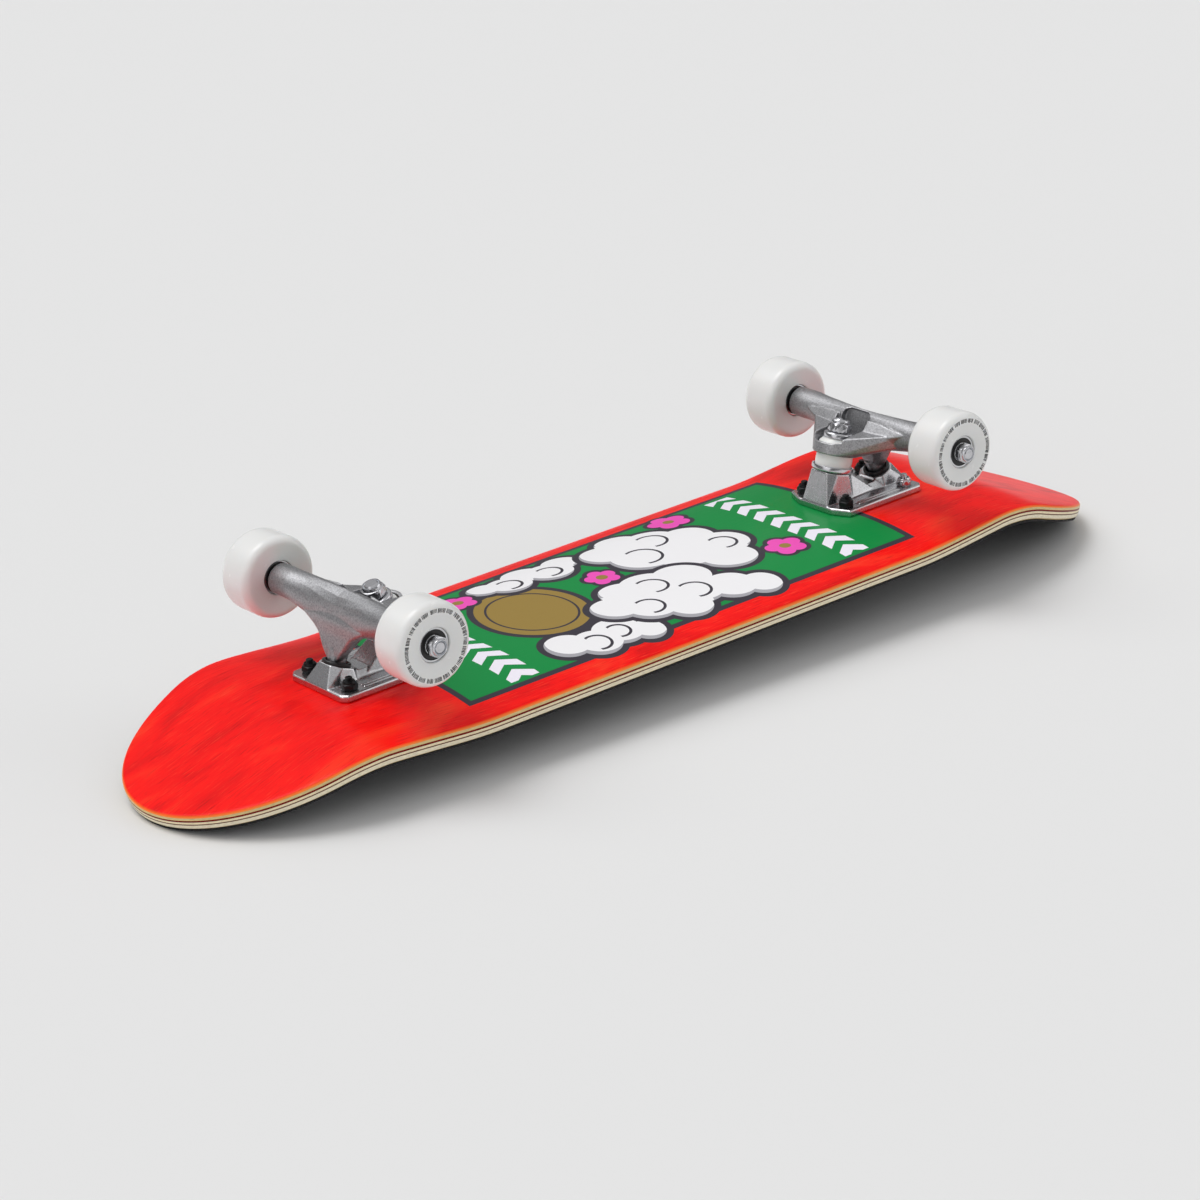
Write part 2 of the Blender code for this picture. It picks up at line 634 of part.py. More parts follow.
def hanger_beam_mesh():
    angles = (0, 28, 56, 84, 100, 118, 139, 175, 215, 255, 290, 325)
    top = AXLE_HEIGHT + BEAM_END_RADIUS
    middle = (
        (AXLE_X + 10.9, top - 12.0), (AXLE_X + 9.4, top - 6.0), (AXLE_X + 6.9, top - 1.6),
        (AXLE_X + 2.9, top), (AXLE_X - 2.8, top - 3.2), (AXLE_X - 6.1, top - 8.4),
        (AXLE_X - 7.2, top - 14.0), (AXLE_X - 7.0, top - 22.0),
        (AXLE_X - 7.1, top - 27.5), (AXLE_X - 0.6, top - 29.0), (AXLE_X + 6.4, top - 28.0),
        (AXLE_X + 10.4, top - 22.0),
    )
    waist = 49.0
    end = WHEEL_CENTRE_Y - SPACER_LENGTH / 2 - BEARING_WIDTH - SEAT_GAP - SPEED_WASHER - SEAT_GAP
    shoulder = end - BEAM_COLLAR_LENGTH
    collar = []
    for angle in angles:
        turn = math.radians(angle)
        x = AXLE_X + BEAM_COLLAR_RADIUS * math.cos(turn)
        collar.append((x, AXLE_HEIGHT + BEAM_COLLAR_RADIUS * math.sin(turn)))
    ends = [[(x, y, z) for x, z in collar] for y in (end, shoulder)]
    half = ends + [beam_section(shoulder, 0, angles, middle), beam_section(waist, 0, angles, middle)]
    half.append(beam_section(waist / 2, 0.5, angles, middle))
    centre = beam_section(0.0, 1.0, angles, middle)
    other = [[(x, -y, z) for x, y, z in loop] for loop in reversed(half)]
    return skin_mesh("hanger_beam", half + [centre] + other)


def hanger_fin_mesh():
    """The wedge that runs down from the beam to the pivot nose."""
    frame = pivot_frame()
    nose_top = in_frame(frame, 0, 0, CUP_FLANGE_END + 1.5)
    rows = (
        (nose_top[2] + 0.5, 6.2, nose_top[0] - 4.6, nose_top[0] + 5.2),
        (24.0, 11.5, -24.0, -12.5),
        (33.0, 20.0, -22.0, -8.0),
        (41.5, 37.0, -21.2, -6.0),
        (46.0, 42.0, -19.5, -8.0),
    )
    loops = []
    for z, half, outer, inner in rows:
        side = [(inner, half * 0.55, z), (inner - 2.5, half * 0.9, z)]
        side += [(outer + 3.0, half, z), (outer, half * 0.8, z)]
        loops.append(mirror_loop(side))
    return skin_mesh("hanger_fin", loops)


def hanger_nose_mesh():
    ball = PIVOT_BALL_RADIUS
    profile = [(ball * math.cos(a), -ball * math.sin(a)) for a in (math.radians(d) for d in (80, 55, 30, 5))]
    profile += [(NOSE_MOUTH_RADIUS, CUP_FLANGE_END), (NOSE_MOUTH_RADIUS + 0.6, CUP_FLANGE_END + 7.0)]
    return turned_mesh("hanger_nose", profile, CUP_SIDES)


def hanger_ring_mesh():
    """The bushing ring and the two arms that carry it, as one hull."""
    points = []
    for distance in (RING_START, RING_END):
        frame = kingpin_frame(distance)
        points += [in_frame(frame, *point) for point in circle(RING_RADIUS, 0, ROUND_SIDES)]
    for side in (-1, 1):
        points += [(-9.0, side * 43.0, 42.5), (-6.0, side * 43.0, 51.0)]
    return hull_mesh("hanger_ring", points)


def make_hanger(end_name, steer, truck_from_steer, materials):
    hanger = make_object(
        end_name + "_hanger", hanger_beam_mesh(), materials["cast_aluminium"], steer, truck_from_steer)
    parts = (("fin", hanger_fin_mesh(), Matrix()), ("nose", hanger_nose_mesh(), pivot_frame()),
             ("ring", hanger_ring_mesh(), Matrix()))
    for label, mesh, frame in parts:
        guide = make_guide(f"{end_name}_hanger_{label}", mesh, steer, truck_from_steer @ frame)
        add_boolean(hanger, guide, "UNION")

    def cut(label, mesh, frame):
        guide = make_guide(f"{end_name}_{label}_cutter", mesh, steer, truck_from_steer @ frame)
        add_boolean(hanger, guide, "DIFFERENCE")

    pocket_height = 30.0
    seat = [
        (RING_SEAT_BOARD_RADIUS, RING_START - 12.0), (RING_SEAT_BOARD_RADIUS, WEB_START),
        (RING_HOLE_RADIUS, WEB_START), (RING_HOLE_RADIUS, WEB_END),
        (RING_SEAT_ROAD_RADIUS, WEB_END), (RING_SEAT_ROAD_RADIUS, RING_END + pocket_height),
    ]
    cut("seat", turned_mesh("ring_seat", seat, ROUND_SIDES), kingpin_frame(0))
    pocket = []
    for height in (RING_END, RING_END + pocket_height):
        for y in (-NUT_POCKET_HALF_WIDTH, NUT_POCKET_HALF_WIDTH):
            pocket += [(-NUT_POCKET_REACH, y, height), (RING_RADIUS + 3.0, y, height)]
    cut("pocket", hull_mesh("nut_pocket", pocket), kingpin_frame(0))
    bore = AXLE_RADIUS + SEAT_GAP
    axle_bore = turned_mesh("axle_bore", [(bore, -AXLE_HALF_LENGTH), (bore, AXLE_HALF_LENGTH)], SMALL_SIDES)
    cut("axle", axle_bore, axle_frame(0.0))


def axle_frame(y):
    """Origin on the axle at that distance from the middle, +Z along the axle toward +Y."""
    return place(AXLE_X, y, AXLE_HEIGHT) @ Matrix.Rotation(-math.pi / 2, 4, "X")


# ================================================================ axle, wheels and bearings
def make_axle(end_name, steer, truck_from_steer, materials):
    end = AXLE_HALF_LENGTH
    profile = [(AXLE_RADIUS - 0.6, -end), (AXLE_RADIUS, -end + 0.6), (AXLE_RADIUS, end - 0.6),
               (AXLE_RADIUS - 0.6, end)]
    mesh = turned_mesh("axle", profile, ROUND_SIDES)
    make_object(end_name + "_axle", mesh, materials["zinc_steel"], steer, truck_from_steer @ axle_frame(0.0))


def wheel_profile():
    half = WHEEL_WIDTH / 2
    rim = WHEEL_RADIUS - WHEEL_EDGE_DEPTH
    seat = BEARING_RADIUS + SEAT_GAP
    step = SPACER_LENGTH / 2
    side = [(WHEEL_CORE_RADIUS, step - SEAT_GAP), (seat, step - SEAT_GAP)]
    side += [(seat, half - WHEEL_FACE_DISH), (rim, half)]
    for turn in (math.radians(30), math.radians(60), math.radians(90)):
        radius = rim + WHEEL_EDGE_DEPTH * math.sin(turn)
        side.append((radius, half - WHEEL_EDGE_WIDTH * (1 - math.cos(turn))))
    return side + [(radius, -height) for radius, height in reversed(side)]


def make_wheel_set(name, side, steer, truck_from_steer, materials):
    """A wheel with its bearings, spacer and nut, on the +Y (side 1) or -Y (side -1) end of the axle."""
    outward = Matrix() if side > 0 else Matrix.Rotation(math.pi, 4, "X")
    centre = truck_from_steer @ axle_frame(side * WHEEL_CENTRE_Y) @ outward
    spin = make_empty(name + "_spin", steer, centre)
    wheel = turned_mesh("wheel", wheel_profile(), WHEEL_SIDES, ring=True)
    make_object(name + "_wheel", wheel, materials["white_urethane"], spin)
    bore = (AXLE_RADIUS + RUNNING_GAP) / math.cos(math.pi / ROUND_SIDES)
    bearing_profile = tube_profile(bore, BEARING_RADIUS, 0, BEARING_WIDTH)
    bearing = turned_mesh("bearing", bearing_profile, WHEEL_SIDES, ring=True)
    inner_face = SPACER_LENGTH / 2
    make_object(name + "_outer_bearing", bearing, materials["black_shield"], spin, place(0, 0, inner_face))
    make_object(
        name + "_inner_bearing", bearing, materials["black_shield"], spin,
        place(0, 0, -inner_face - BEARING_WIDTH))
    half_spacer = SPACER_LENGTH / 2 - SEAT_GAP
    spacer_profile = tube_profile(AXLE_RADIUS + SEAT_GAP + 0.1, SPACER_RADIUS, -half_spacer, half_spacer)
    spacer = turned_mesh("bearing_spacer", spacer_profile, SMALL_SIDES, ring=True)
    make_object(name + "_bearing_spacer", spacer, materials["zinc_steel"], steer, centre)
    nut_start = SPACER_LENGTH / 2 + BEARING_WIDTH + SEAT_GAP + SPEED_WASHER + SEAT_GAP
    nut = nut_mesh("axle_nut", AXLE_NUT_FLATS, AXLE_RADIUS + SEAT_GAP + 0.1, AXLE_NUT_HEIGHT, SMALL_SIDES)
    make_object(name + "_axle_nut", nut, materials["zinc_steel"], steer, centre @ place(0, 0, nut_start))


# ================================================================ mounting bolts
def make_bolts(end_name, truck, materials, bright_bolt):
    bottom = DECK_THICKNESS + SEAT_GAP + GRIP_THICKNESS
    tip = bottom + BOLT_TIP_HEIGHT
    head = BOLT_HEAD_RADIUS
    profile = [
        (head, 0), (head, 0.5), (BOLT_RADIUS, BOLT_HEAD_HEIGHT), (BOLT_RADIUS, tip - 0.6),
        (BOLT_RADIUS - 0.6, tip),
    ]
    nut_base = SEAT_GAP + PLATE_THICKNESS + SEAT_GAP
    for number, (x, y) in enumerate(bolt_places(), start=1):
        finish = materials["zinc_steel" if number == bright_bolt else "black_steel"]
        bolt = turned_mesh("mounting_bolt", profile, SMALL_SIDES)
        nut = nut_mesh("mounting_nut", BOLT_NUT_FLATS, BOLT_RADIUS + HOLE_GAP, BOLT_NUT_HEIGHT, SMALL_SIDES)
        make_object(f"{end_name}_bolt_{number}", bolt, finish, truck, place(x, y, -bottom))
        make_object(f"{end_name}_bolt_nut_{number}", nut, finish, truck, place(x, y, nut_base))


# ================================================================ assembly
def steer_axis_frame():
    """Origin at the middle of the bushing ring, +Z along the steering axis away from the pivot."""
    ring = kingpin_point(RING_MIDDLE)
    pivot = Vector((PIVOT_X, 0.0, PIVOT_Z))
    along = ring - pivot
    return place(*ring, turn_y=math.degrees(math.atan2(along.x, along.z)))


def make_truck(end_name, sides, truck, materials, bright_bolt):
    make_baseplate(end_name, truck, materials)
    make_pivot_cup(end_name, truck, materials)
    make_kingpin(end_name, truck, materials)
    make_bushings(end_name, truck, materials)
    make_bolts(end_name, truck, materials, bright_bolt)
    steer_frame = steer_axis_frame()
    steer = make_empty(end_name + "_steer", truck, steer_frame)
    truck_from_steer = steer_frame.inverted()
    make_hanger(end_name, steer, truck_from_steer, materials)
    make_axle(end_name, steer, truck_from_steer, materials)
    for side, side_name in sides:
        make_wheel_set(f"{end_name}_{side_name}", side, steer, truck_from_steer, materials)


def stand_on_floor(board):
    """Move the board until the world origin is on the floor below the middle of its box."""
    bpy.context.view_layer.update()
    graph = bpy.context.evaluated_depsgraph_get()
    corners = []
    for piece in bpy.context.scene.objects:
        if piece.type != "MESH" or piece.hide_render:
            continue
        mesh = piece.evaluated_get(graph).to_mesh()
        corners += [piece.matrix_world @ vertex.co for vertex in mesh.vertices]
    low = [min(point[axis] for point in corners) for axis in range(3)]
    high = [max(point[axis] for point in corners) for axis in range(3)]
    board.location -= Vector(((low[0] + high[0]) / 2, (low[1] + high[1]) / 2, low[2]))
    bpy.context.view_layer.update()


def build():
    clear_scene()
    materials = make_materials()
    board = make_empty("board", None, Matrix.Rotation(math.radians(resting_tilt()), 4, "Y"))
    half_spacing = TRUCK_SPACING / 2
    rear = make_empty("rear_truck", board, place(-half_spacing, 0, 0))
    front = make_empty("front_truck", board, place(half_spacing, 0, 0, turn_z=180))
    make_deck(board, (rear, front), materials)
    make_truck("rear", ((-1, "left"), (1, "right")), rear, materials, bright_bolt=0)
    make_truck("front", ((1, "left"), (-1, "right")), front, materials, bright_bolt=4)
    stand_on_floor(board)


build()
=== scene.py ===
# %% [markdown]
# # A skateboard, lying wheels up
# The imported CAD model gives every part's place, size and joint. This lesson gives each part the
# surface of the real thing: pressed maple with a printed underside, cast aluminium trucks,
# zinc-plated steel, poured urethane and black grit paper. Each piece rides on the CAD body that
# carries it, so the wheels still spin and the trucks still steer.

# %% Load the frame
import json
import math

import bmesh
import bpy
import numpy as np
from mathutils import Matrix, Vector


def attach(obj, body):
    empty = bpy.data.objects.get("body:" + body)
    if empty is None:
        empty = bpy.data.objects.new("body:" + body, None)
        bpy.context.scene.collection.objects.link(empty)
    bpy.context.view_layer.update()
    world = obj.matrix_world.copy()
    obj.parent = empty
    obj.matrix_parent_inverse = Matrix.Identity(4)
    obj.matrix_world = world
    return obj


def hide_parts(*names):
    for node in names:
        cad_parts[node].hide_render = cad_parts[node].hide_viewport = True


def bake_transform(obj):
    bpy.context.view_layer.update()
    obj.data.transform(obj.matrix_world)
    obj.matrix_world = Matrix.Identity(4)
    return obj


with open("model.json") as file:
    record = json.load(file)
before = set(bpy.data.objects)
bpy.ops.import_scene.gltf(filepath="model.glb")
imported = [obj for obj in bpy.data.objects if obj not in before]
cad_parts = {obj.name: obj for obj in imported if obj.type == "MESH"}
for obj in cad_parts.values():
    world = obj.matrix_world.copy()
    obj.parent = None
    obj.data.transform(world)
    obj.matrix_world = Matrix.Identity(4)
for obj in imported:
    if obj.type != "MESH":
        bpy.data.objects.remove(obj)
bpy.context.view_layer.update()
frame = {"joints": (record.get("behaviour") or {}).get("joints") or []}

# %% [markdown]
# ## Frames
# A board and its trucks are drawn in their own frames, as a workshop would draw them, in
# millimetres. The record's wheel joints lie on the two axles, and that is enough to find all
# three frames: the board's X axis runs from the tail axle to the nose axle, and its origin sits
# below their middle, on the painted face. A truck's X axis points to the middle of the board.

# %% Find the board frame and the truck frames
MM = 0.001
AXLE_HEIGHT = 49.85        # above the painted face
AXLE_X = -12.4             # from the middle of the truck's bolt pattern

joints = {joint["name"]: joint for joint in frame["joints"]}


def axle_middle(end):
    ends = [Vector(joints[f"{end}_{side}_wheel_spin"]["pos_m"]) for side in ("left", "right")]
    return (ends[0] + ends[1]) / 2


tail_axle = axle_middle("rear")
nose_axle = axle_middle("front")
along = (nose_axle - tail_axle).normalized()
across = Vector((0, 1, 0))
upward = along.cross(across)
origin = (tail_axle + nose_axle) / 2 - upward * AXLE_HEIGHT * MM
board_frame = Matrix.Translation(origin) @ Matrix((along, across, upward)).transposed().to_4x4()
truck_reach = (nose_axle - tail_axle).length / 2 / MM + AXLE_X
print(f"trucks stand {2 * truck_reach:.1f} mm apart")


def moved(x=0.0, y=0.0, z=0.0, turn_y=0.0, turn_z=0.0):
    """A placing in millimetres and degrees: turned about Z, then about Y, then moved."""
    turn = Matrix.Rotation(math.radians(turn_z), 4, "Z") @ Matrix.Rotation(math.radians(turn_y), 4, "Y")
    return Matrix.Translation(Vector((x, y, z)) * MM) @ turn


truck_frames = {
    "rear": board_frame @ moved(-truck_reach),
    "front": board_frame @ moved(truck_reach, turn_z=180),
}

# %% [markdown]
# ## From points to pieces
# Every piece here is a list of points in millimetres and a list of faces. Its points are also
# stored on the mesh as an attribute named made_mm, before the piece is put in its place. A
# material that reads made_mm works in the piece's own millimetres, so grit, grain and print stay
# fixed to the piece when a wheel turns or a truck steers.

# %% Make a mesh and show it as a piece
def make_mesh(points, faces, made=None):
    mesh = bpy.data.meshes.new("shape")
    mesh.from_pydata([tuple(point) for point in points], [], faces)
    keep_made(mesh, points if made is None else made)
    shell = bmesh.new()
    shell.from_mesh(mesh)
    bmesh.ops.recalc_face_normals(shell, faces=shell.faces)
    shell.to_mesh(mesh)
    shell.free()
    return mesh


def keep_made(mesh, made):
    attribute = mesh.attributes.get("made_mm") or mesh.attributes.new("made_mm", "FLOAT_VECTOR", "POINT")
    attribute.data.foreach_set("vector", np.asarray(made, dtype=np.float32).ravel())


def add_object(name, data):
    thing = bpy.data.objects.new(name, data)
    bpy.context.scene.collection.objects.link(thing)
    return thing


def show(name, shape, placing, material, body, stands_for=(), sharp=38.0):
    """A piece from a shape in millimetres; body None leaves the riding to the caller."""
    mesh = shape.copy()
    mesh.name = name
    mesh.transform(placing @ Matrix.Scale(MM, 4))
    mesh.shade_smooth()
    mesh.set_sharp_from_angle(angle=math.radians(sharp))
    mesh.materials.clear()
    mesh.materials.append(material)
    piece = add_object(name, mesh)
    if body:
        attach(piece, body)
    if stands_for:
        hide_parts(*stands_for)
    return piece


# %% [markdown]
# ## Turned shapes
# Wheels, bearings, washers, bushings, bolts and nuts are all turned: an outline goes round an
# axis. Real corners are never sharp, because a cutter or a mould leaves a small radius, and that
# radius is what catches the light. So an outline is softened before it is turned.

# %% Turn a softened outline
def softened(outline, radius, closed=False, steps=3):
    """Rounds the corners of an outline, by less where a side is short."""
    corners = [Vector(point) for point in outline]
    result = []
    for index, corner in enumerate(corners):
        if not closed and index in (0, len(corners) - 1):
            result.append(tuple(corner))
            continue
        before = corners[index - 1] - corner
        after = corners[(index + 1) % len(corners)] - corner
        cut = min(radius, 0.45 * before.length, 0.45 * after.length)
        start = corner + before.normalized() * cut
        stop = corner + after.normalized() * cut
        for step in range(steps + 1):
            share = step / steps
            point = start * (1 - share) ** 2 + corner * 2 * share * (1 - share) + stop * share ** 2
            result.append(tuple(point))
    return result


def skin(rows, closed):
    """Faces between rows of points; closed joins the last row to the first, open rows get caps."""
    count = len(rows[0])
    points = [point for row in rows for point in row]
    faces = []
    for row in range(len(rows) if closed else len(rows) - 1):
        low = row * count
        high = (row + 1) % len(rows) * count
        for index in range(count):
            after = (index + 1) % count
            faces.append((low + index, low + after, high + after, high + index))
    if not closed:
        faces.append(tuple(range(count)))
        faces.append(tuple(range(len(points) - count, len(points))))
    return points, faces


def turned(outline, sides=48, closed=True):
    turns = [2 * math.pi * index / sides for index in range(sides)]
    rows = [[(radius * math.cos(t), radius * math.sin(t), height) for t in turns]
            for radius, height in outline]
    return make_mesh(*skin(rows, closed))


def soft_turned(outline, radius, sides=48, steps=3):
    return turned(softened(outline, radius, closed=True, steps=steps), sides)


def plain_ring(inner, outer, low, high, radius, sides=48):
    """A ring with a square section and softened corners."""
    return soft_turned([(inner, low), (outer, low), (outer, high), (inner, high)], radius, sides)


# %% [markdown]
# Threads and lock nuts are turned too, but their radius changes on the way round. A thread is a
# wave that climbs one pitch in each turn. A lock nut is a hexagon whose corners a lathe has cut
# back, which leaves the curved chamfer lines, with a round collar that holds a nylon ring.

# %% Threads and lock nuts
def threaded(outline, thread_start, thread_end, pitch, sides=32):
    """A rod whose outline gets a thread between two heights, 4 steps to each pitch."""
    depth = 0.55 * pitch
    rows = []
    thread_radius = max(radius for radius, height in outline if thread_start <= height <= thread_end)
    below = [point for point in outline if point[1] <= thread_start]
    above = [point for point in outline if point[1] >= thread_end]
    steps = int((thread_end - thread_start) / pitch * 4)
    wave = [(thread_radius, thread_start + (thread_end - thread_start) * (i + 1) / (steps + 2))
            for i in range(steps)]
    for part, cut in ((below, 0.0), (wave, depth), (above, 0.0)):
        for radius, height in part:
            row = []
            for index in range(sides):
                turn = 2 * math.pi * index / sides
                phase = 2 * math.pi * height / pitch - turn
                r = radius - cut * (0.5 - 0.5 * math.cos(phase))
                row.append((r * math.cos(turn), r * math.sin(turn), height))
            rows.append(row)
    return make_mesh(*skin(rows, False))


def lock_nut(flats, bore, height, sides=48):
    """A hexagon nut with chamfered corners and a round collar."""
    collar = flats * 0.44
    shoulder = height * 0.68
    corner = flats / math.sqrt(3)
    lip = bore + (collar - bore) * 0.45
    outline = [
        (bore + 0.3, 0.0, False), (flats * 0.49, 0.0, False), (flats * 0.515, 0.15, True),
        (corner, flats * 0.065, True), (corner, shoulder - flats * 0.065, True),
        (flats * 0.51, shoulder - 0.1, True), (collar + 0.35, shoulder, False),
        (collar, shoulder + 0.35, False),
        (collar, height - 0.7, False), (collar - 0.5, height, False), (lip, height, False),
        (lip - 0.25, height - 0.5, False), (bore, height - 0.6, False), (bore, 0.3, False),
    ]
    rows = []
    for radius, level, six_sided in outline:
        row = []
        for index in range(sides):
            turn = 2 * math.pi * index / sides
            from_flat = (turn + math.pi / 6) % (math.pi / 3) - math.pi / 6
            r = min(radius, flats / 2 / math.cos(from_flat)) if six_sided else radius
            row.append((r * math.cos(turn), r * math.sin(turn), level))
        rows.append(row)
    return make_mesh(*skin(rows, True))


def nylon_ring(flats, bore, height):
    """The ring that a lock nut's collar is rolled over."""
    lip = bore + (flats * 0.44 - bore) * 0.45
    return plain_ring(bore - 0.1, lip, height - 1.6, height - 0.35, 0.2, 32)


# %% [markdown]
# ## Materials: the helpers
# Colours are written as sRGB hex values, the way a paint chart gives them, and one function turns
# them to linear light. One more function adds a node to a material with its settings and links,
# and short names stand for the kinds of node that come back most.

# %% Colour and node helpers
def linear(hex_colour, alpha=1.0):
    channels = [int(hex_colour[start:start + 2], 16) / 255 for start in (1, 3, 5)]
    return [c / 12.92 if c <= 0.04045 else ((c + 0.055) / 1.055) ** 2.4 for c in channels] + [alpha]


def first_output(item):
    if isinstance(item, bpy.types.Node):
        return next(socket for socket in item.outputs if socket.enabled)
    return item


def add(tree, kind, inputs=(), stops=None, **settings):
    """A node with its settings; inputs go by name in a dict, or in order in a list."""
    node = tree.nodes.new(kind)
    for name, value in settings.items():
        setattr(node, name, value)
    if stops:
        ramp = node.color_ramp
        for index, (place, colour) in enumerate(stops):
            stop = ramp.elements[index] if index < 2 else ramp.elements.new(place)
            stop.position = place
            stop.color = colour
    sockets = [socket for socket in node.inputs if socket.enabled]
    pairs = inputs.items() if isinstance(inputs, dict) else enumerate(inputs)
    for key, value in pairs:
        socket = sockets[key] if isinstance(key, int) else next(s for s in sockets if s.name == key)
        value = first_output(value)
        if isinstance(value, bpy.types.NodeSocket):
            tree.links.new(value, socket)
        else:
            socket.default_value = value
    return node


def calc(tree, operation, *inputs):
    return add(tree, "ShaderNodeMath", inputs, operation=operation)


def vector_calc(tree, operation, *inputs):
    return add(tree, "ShaderNodeVectorMath", inputs, operation=operation)


def mix(tree, factor, a, b, blend="MIX"):
    return add(tree, "ShaderNodeMix", {"Factor": factor, "A": a, "B": b}, data_type="RGBA",
               blend_type=blend)


def ramp(tree, value, stops):
    return add(tree, "ShaderNodeValToRGB", [value], stops=stops)


def remap(tree, value, low, high):
    return add(tree, "ShaderNodeMapRange", {"Value": value, "To Min": low, "To Max": high})


def noise(tree, vector, scale, detail, **more):
    return add(tree, "ShaderNodeTexNoise", {"Vector": vector, "Scale": scale, "Detail": detail, **more})


def squeeze(tree, vector, scale):
    return add(tree, "ShaderNodeMapping", {"Vector": vector, "Scale": scale})


def feed(shader, socket, item):
    shader.id_data.links.new(first_output(item), shader.inputs[socket])


def dent(tree, shader, strength, millimetres, height):
    """A bump of a depth in millimetres."""
    bump = add(tree, "ShaderNodeBump",
               {"Strength": strength, "Distance": millimetres * MM, "Height": height})
    feed(shader, "Normal", bump)


def start_material(name, **surface):
    """A new material with its Principled shader's own sockets set; returns all three."""
    material = bpy.data.materials.new(name)
    material.use_nodes = True
    tree = material.node_tree
    shader = tree.nodes["Principled BSDF"]
    for socket, value in surface.items():
        shader.inputs[socket.replace("_", " ")].default_value = value
    return material, tree, shader


def made_place(tree):
    """The piece's own millimetres, as a vector socket."""
    return add(tree, "ShaderNodeAttribute", attribute_name="made_mm").outputs["Vector"]


def grey(value):
    return (value, value, value, 1.0)


# %% [markdown]
# ## Cast and tumbled aluminium
# The hangers are sand or die cast in A356 aluminium and tumbled with stones. The skin stays a
# little uneven: grains of about half a millimetre, drawn at one so that they show, and cloudy
# patches where the stones did less rubbing. Convex edges, which get more rubbing, are smoother,
# and a painted highlight makes their colour brighter; inside corners and creases are darkened
# with painted shade. The baseplates are tumbled longer and shine more.

# %% Aluminium materials
def aluminium(name, colour, edge_highlight_colour, roughness, grain_height, speckled):
    material, tree, shader = start_material(name, Metallic=1.0)
    place = made_place(tree)
    clouds = noise(tree, place, 1 / 9.0, 5.0, Roughness=0.65)
    grain = noise(tree, place, 1 / 1.1, 4.0, Roughness=0.75)
    edges = add(tree, "ShaderNodeNewGeometry").outputs["Pointiness"]
    # Convex edges, found by pointiness: smoother from the stones, and a painted highlight in their colour.
    edge_rub_and_highlight = ramp(tree, edges, [(0.515, grey(0)), (0.60, grey(1))])
    # Concave inside corners and creases, found by pointiness: painted shade that darkens the colour.
    painted_crease_shade = ramp(tree, edges, [(0.40, grey(0.55)), (0.50, grey(1))])
    dull = [channel * 0.80 for channel in linear(colour)[:3]] + [1.0]
    mottled = mix(tree, clouds, dull, linear(colour))
    # Painted highlight: convex edges take the brighter colour.
    with_edge_highlight = mix(tree, edge_rub_and_highlight, mottled, linear(edge_highlight_colour))
    speckle = ramp(tree, grain, [(0.40, grey(0.42)), (0.58, grey(1))])
    # Multiplies in the painted shade of inside corners and creases.
    shaded = mix(tree, 1.0, with_edge_highlight, painted_crease_shade, "MULTIPLY")
    shaded = mix(tree, speckled, shaded, speckle, "MULTIPLY")
    feed(shader, "Base Color", shaded)
    rough = remap(tree, clouds, roughness + 0.10, roughness - 0.08)
    smoother = calc(tree, "MULTIPLY_ADD", edge_rub_and_highlight, -0.12, rough)
    feed(shader, "Roughness", smoother)
    dent(tree, shader, 0.6, grain_height, grain)
    return material


hanger_metal = aluminium("tumbled_cast_aluminium", "#BDBDC0", "#F2F2F4", 0.42, 0.26, 0.65)
baseplate_metal = aluminium("polished_cast_aluminium", "#D2D2D5", "#FFFFFF", 0.25, 0.06, 0.25)
print("aluminium:", hanger_metal.name, baseplate_metal.name)

# %% [markdown]
# ## Steel: zinc plated, and black oxide
# Kingpins, nuts, washers and axles are zinc plated: a thin bright coat over turned steel, with
# fine tool lines and a faint cloudiness. The mounting bolts are blackened by an oxide bath,
# which leaves a dark, slightly oily skin.

# %% Steel materials
def plated_steel(name, colour, roughness, metallic=1.0):
    material, tree, shader = start_material(name, Metallic=metallic)
    place = made_place(tree)
    squeezed = squeeze(tree, place, (0.05, 0.05, 2.5))
    lines = noise(tree, squeezed, 2.0, 4.0)
    clouds = noise(tree, place, 1 / 3.0, 3.0)
    tint = [channel * 0.72 for channel in linear(colour)[:3]] + [1.0]
    colours = mix(tree, clouds, tint, linear(colour))
    feed(shader, "Base Color", colours)
    feed(shader, "Roughness", remap(tree, clouds, roughness + 0.08, roughness - 0.05))
    dent(tree, shader, 0.25, 0.02, lines)
    return material


zinc_steel = plated_steel("zinc_plated_steel", "#D6D6DA", 0.15)
bearing_steel = plated_steel("ground_bearing_steel", "#D9DADC", 0.14)
black_steel = plated_steel("black_oxide_steel", "#141416", 0.34, metallic=0.6)
print("steel:", zinc_steel.name, bearing_steel.name, black_steel.name)

# %% [markdown]
# ## Urethane, nylon and rubber
# Wheels are poured from hard white urethane and trued on a lathe: glossy, slightly translucent,
# with fine lathe rings. A ring of fine black marks is pad printed near the edge of each outer
# face; here it is plain ticks of uneven width. Bushings are poured softer and look like milk.
# The pivot cups and the bearing shields are black.

# %% Plastic materials
def poured(name, colour, roughness, depth, ring_height):
    """Poured urethane: light goes a little way in, and the lathe leaves fine rings."""
    material, tree, shader = start_material(
        name, Base_Color=linear(colour), Subsurface_Weight=0.35, Subsurface_Scale=depth * MM,
        Subsurface_Radius=(1.0, 0.9, 0.8))
    place = made_place(tree)
    clouds = noise(tree, place, 1 / 6.0, 4.0)
    feed(shader, "Roughness", remap(tree, clouds, roughness - 0.06, roughness + 0.08))
    radius = vector_calc(tree, "MULTIPLY", place, (1, 1, 0))
    radius = vector_calc(tree, "LENGTH", radius).outputs["Value"]
    rings = add(tree, "ShaderNodeTexNoise", {"W": radius, "Scale": 2.2, "Detail": 3.0},
                noise_dimensions="1D")
    dent(tree, shader, 0.3, ring_height, rings)
    return material, tree, shader, place, radius


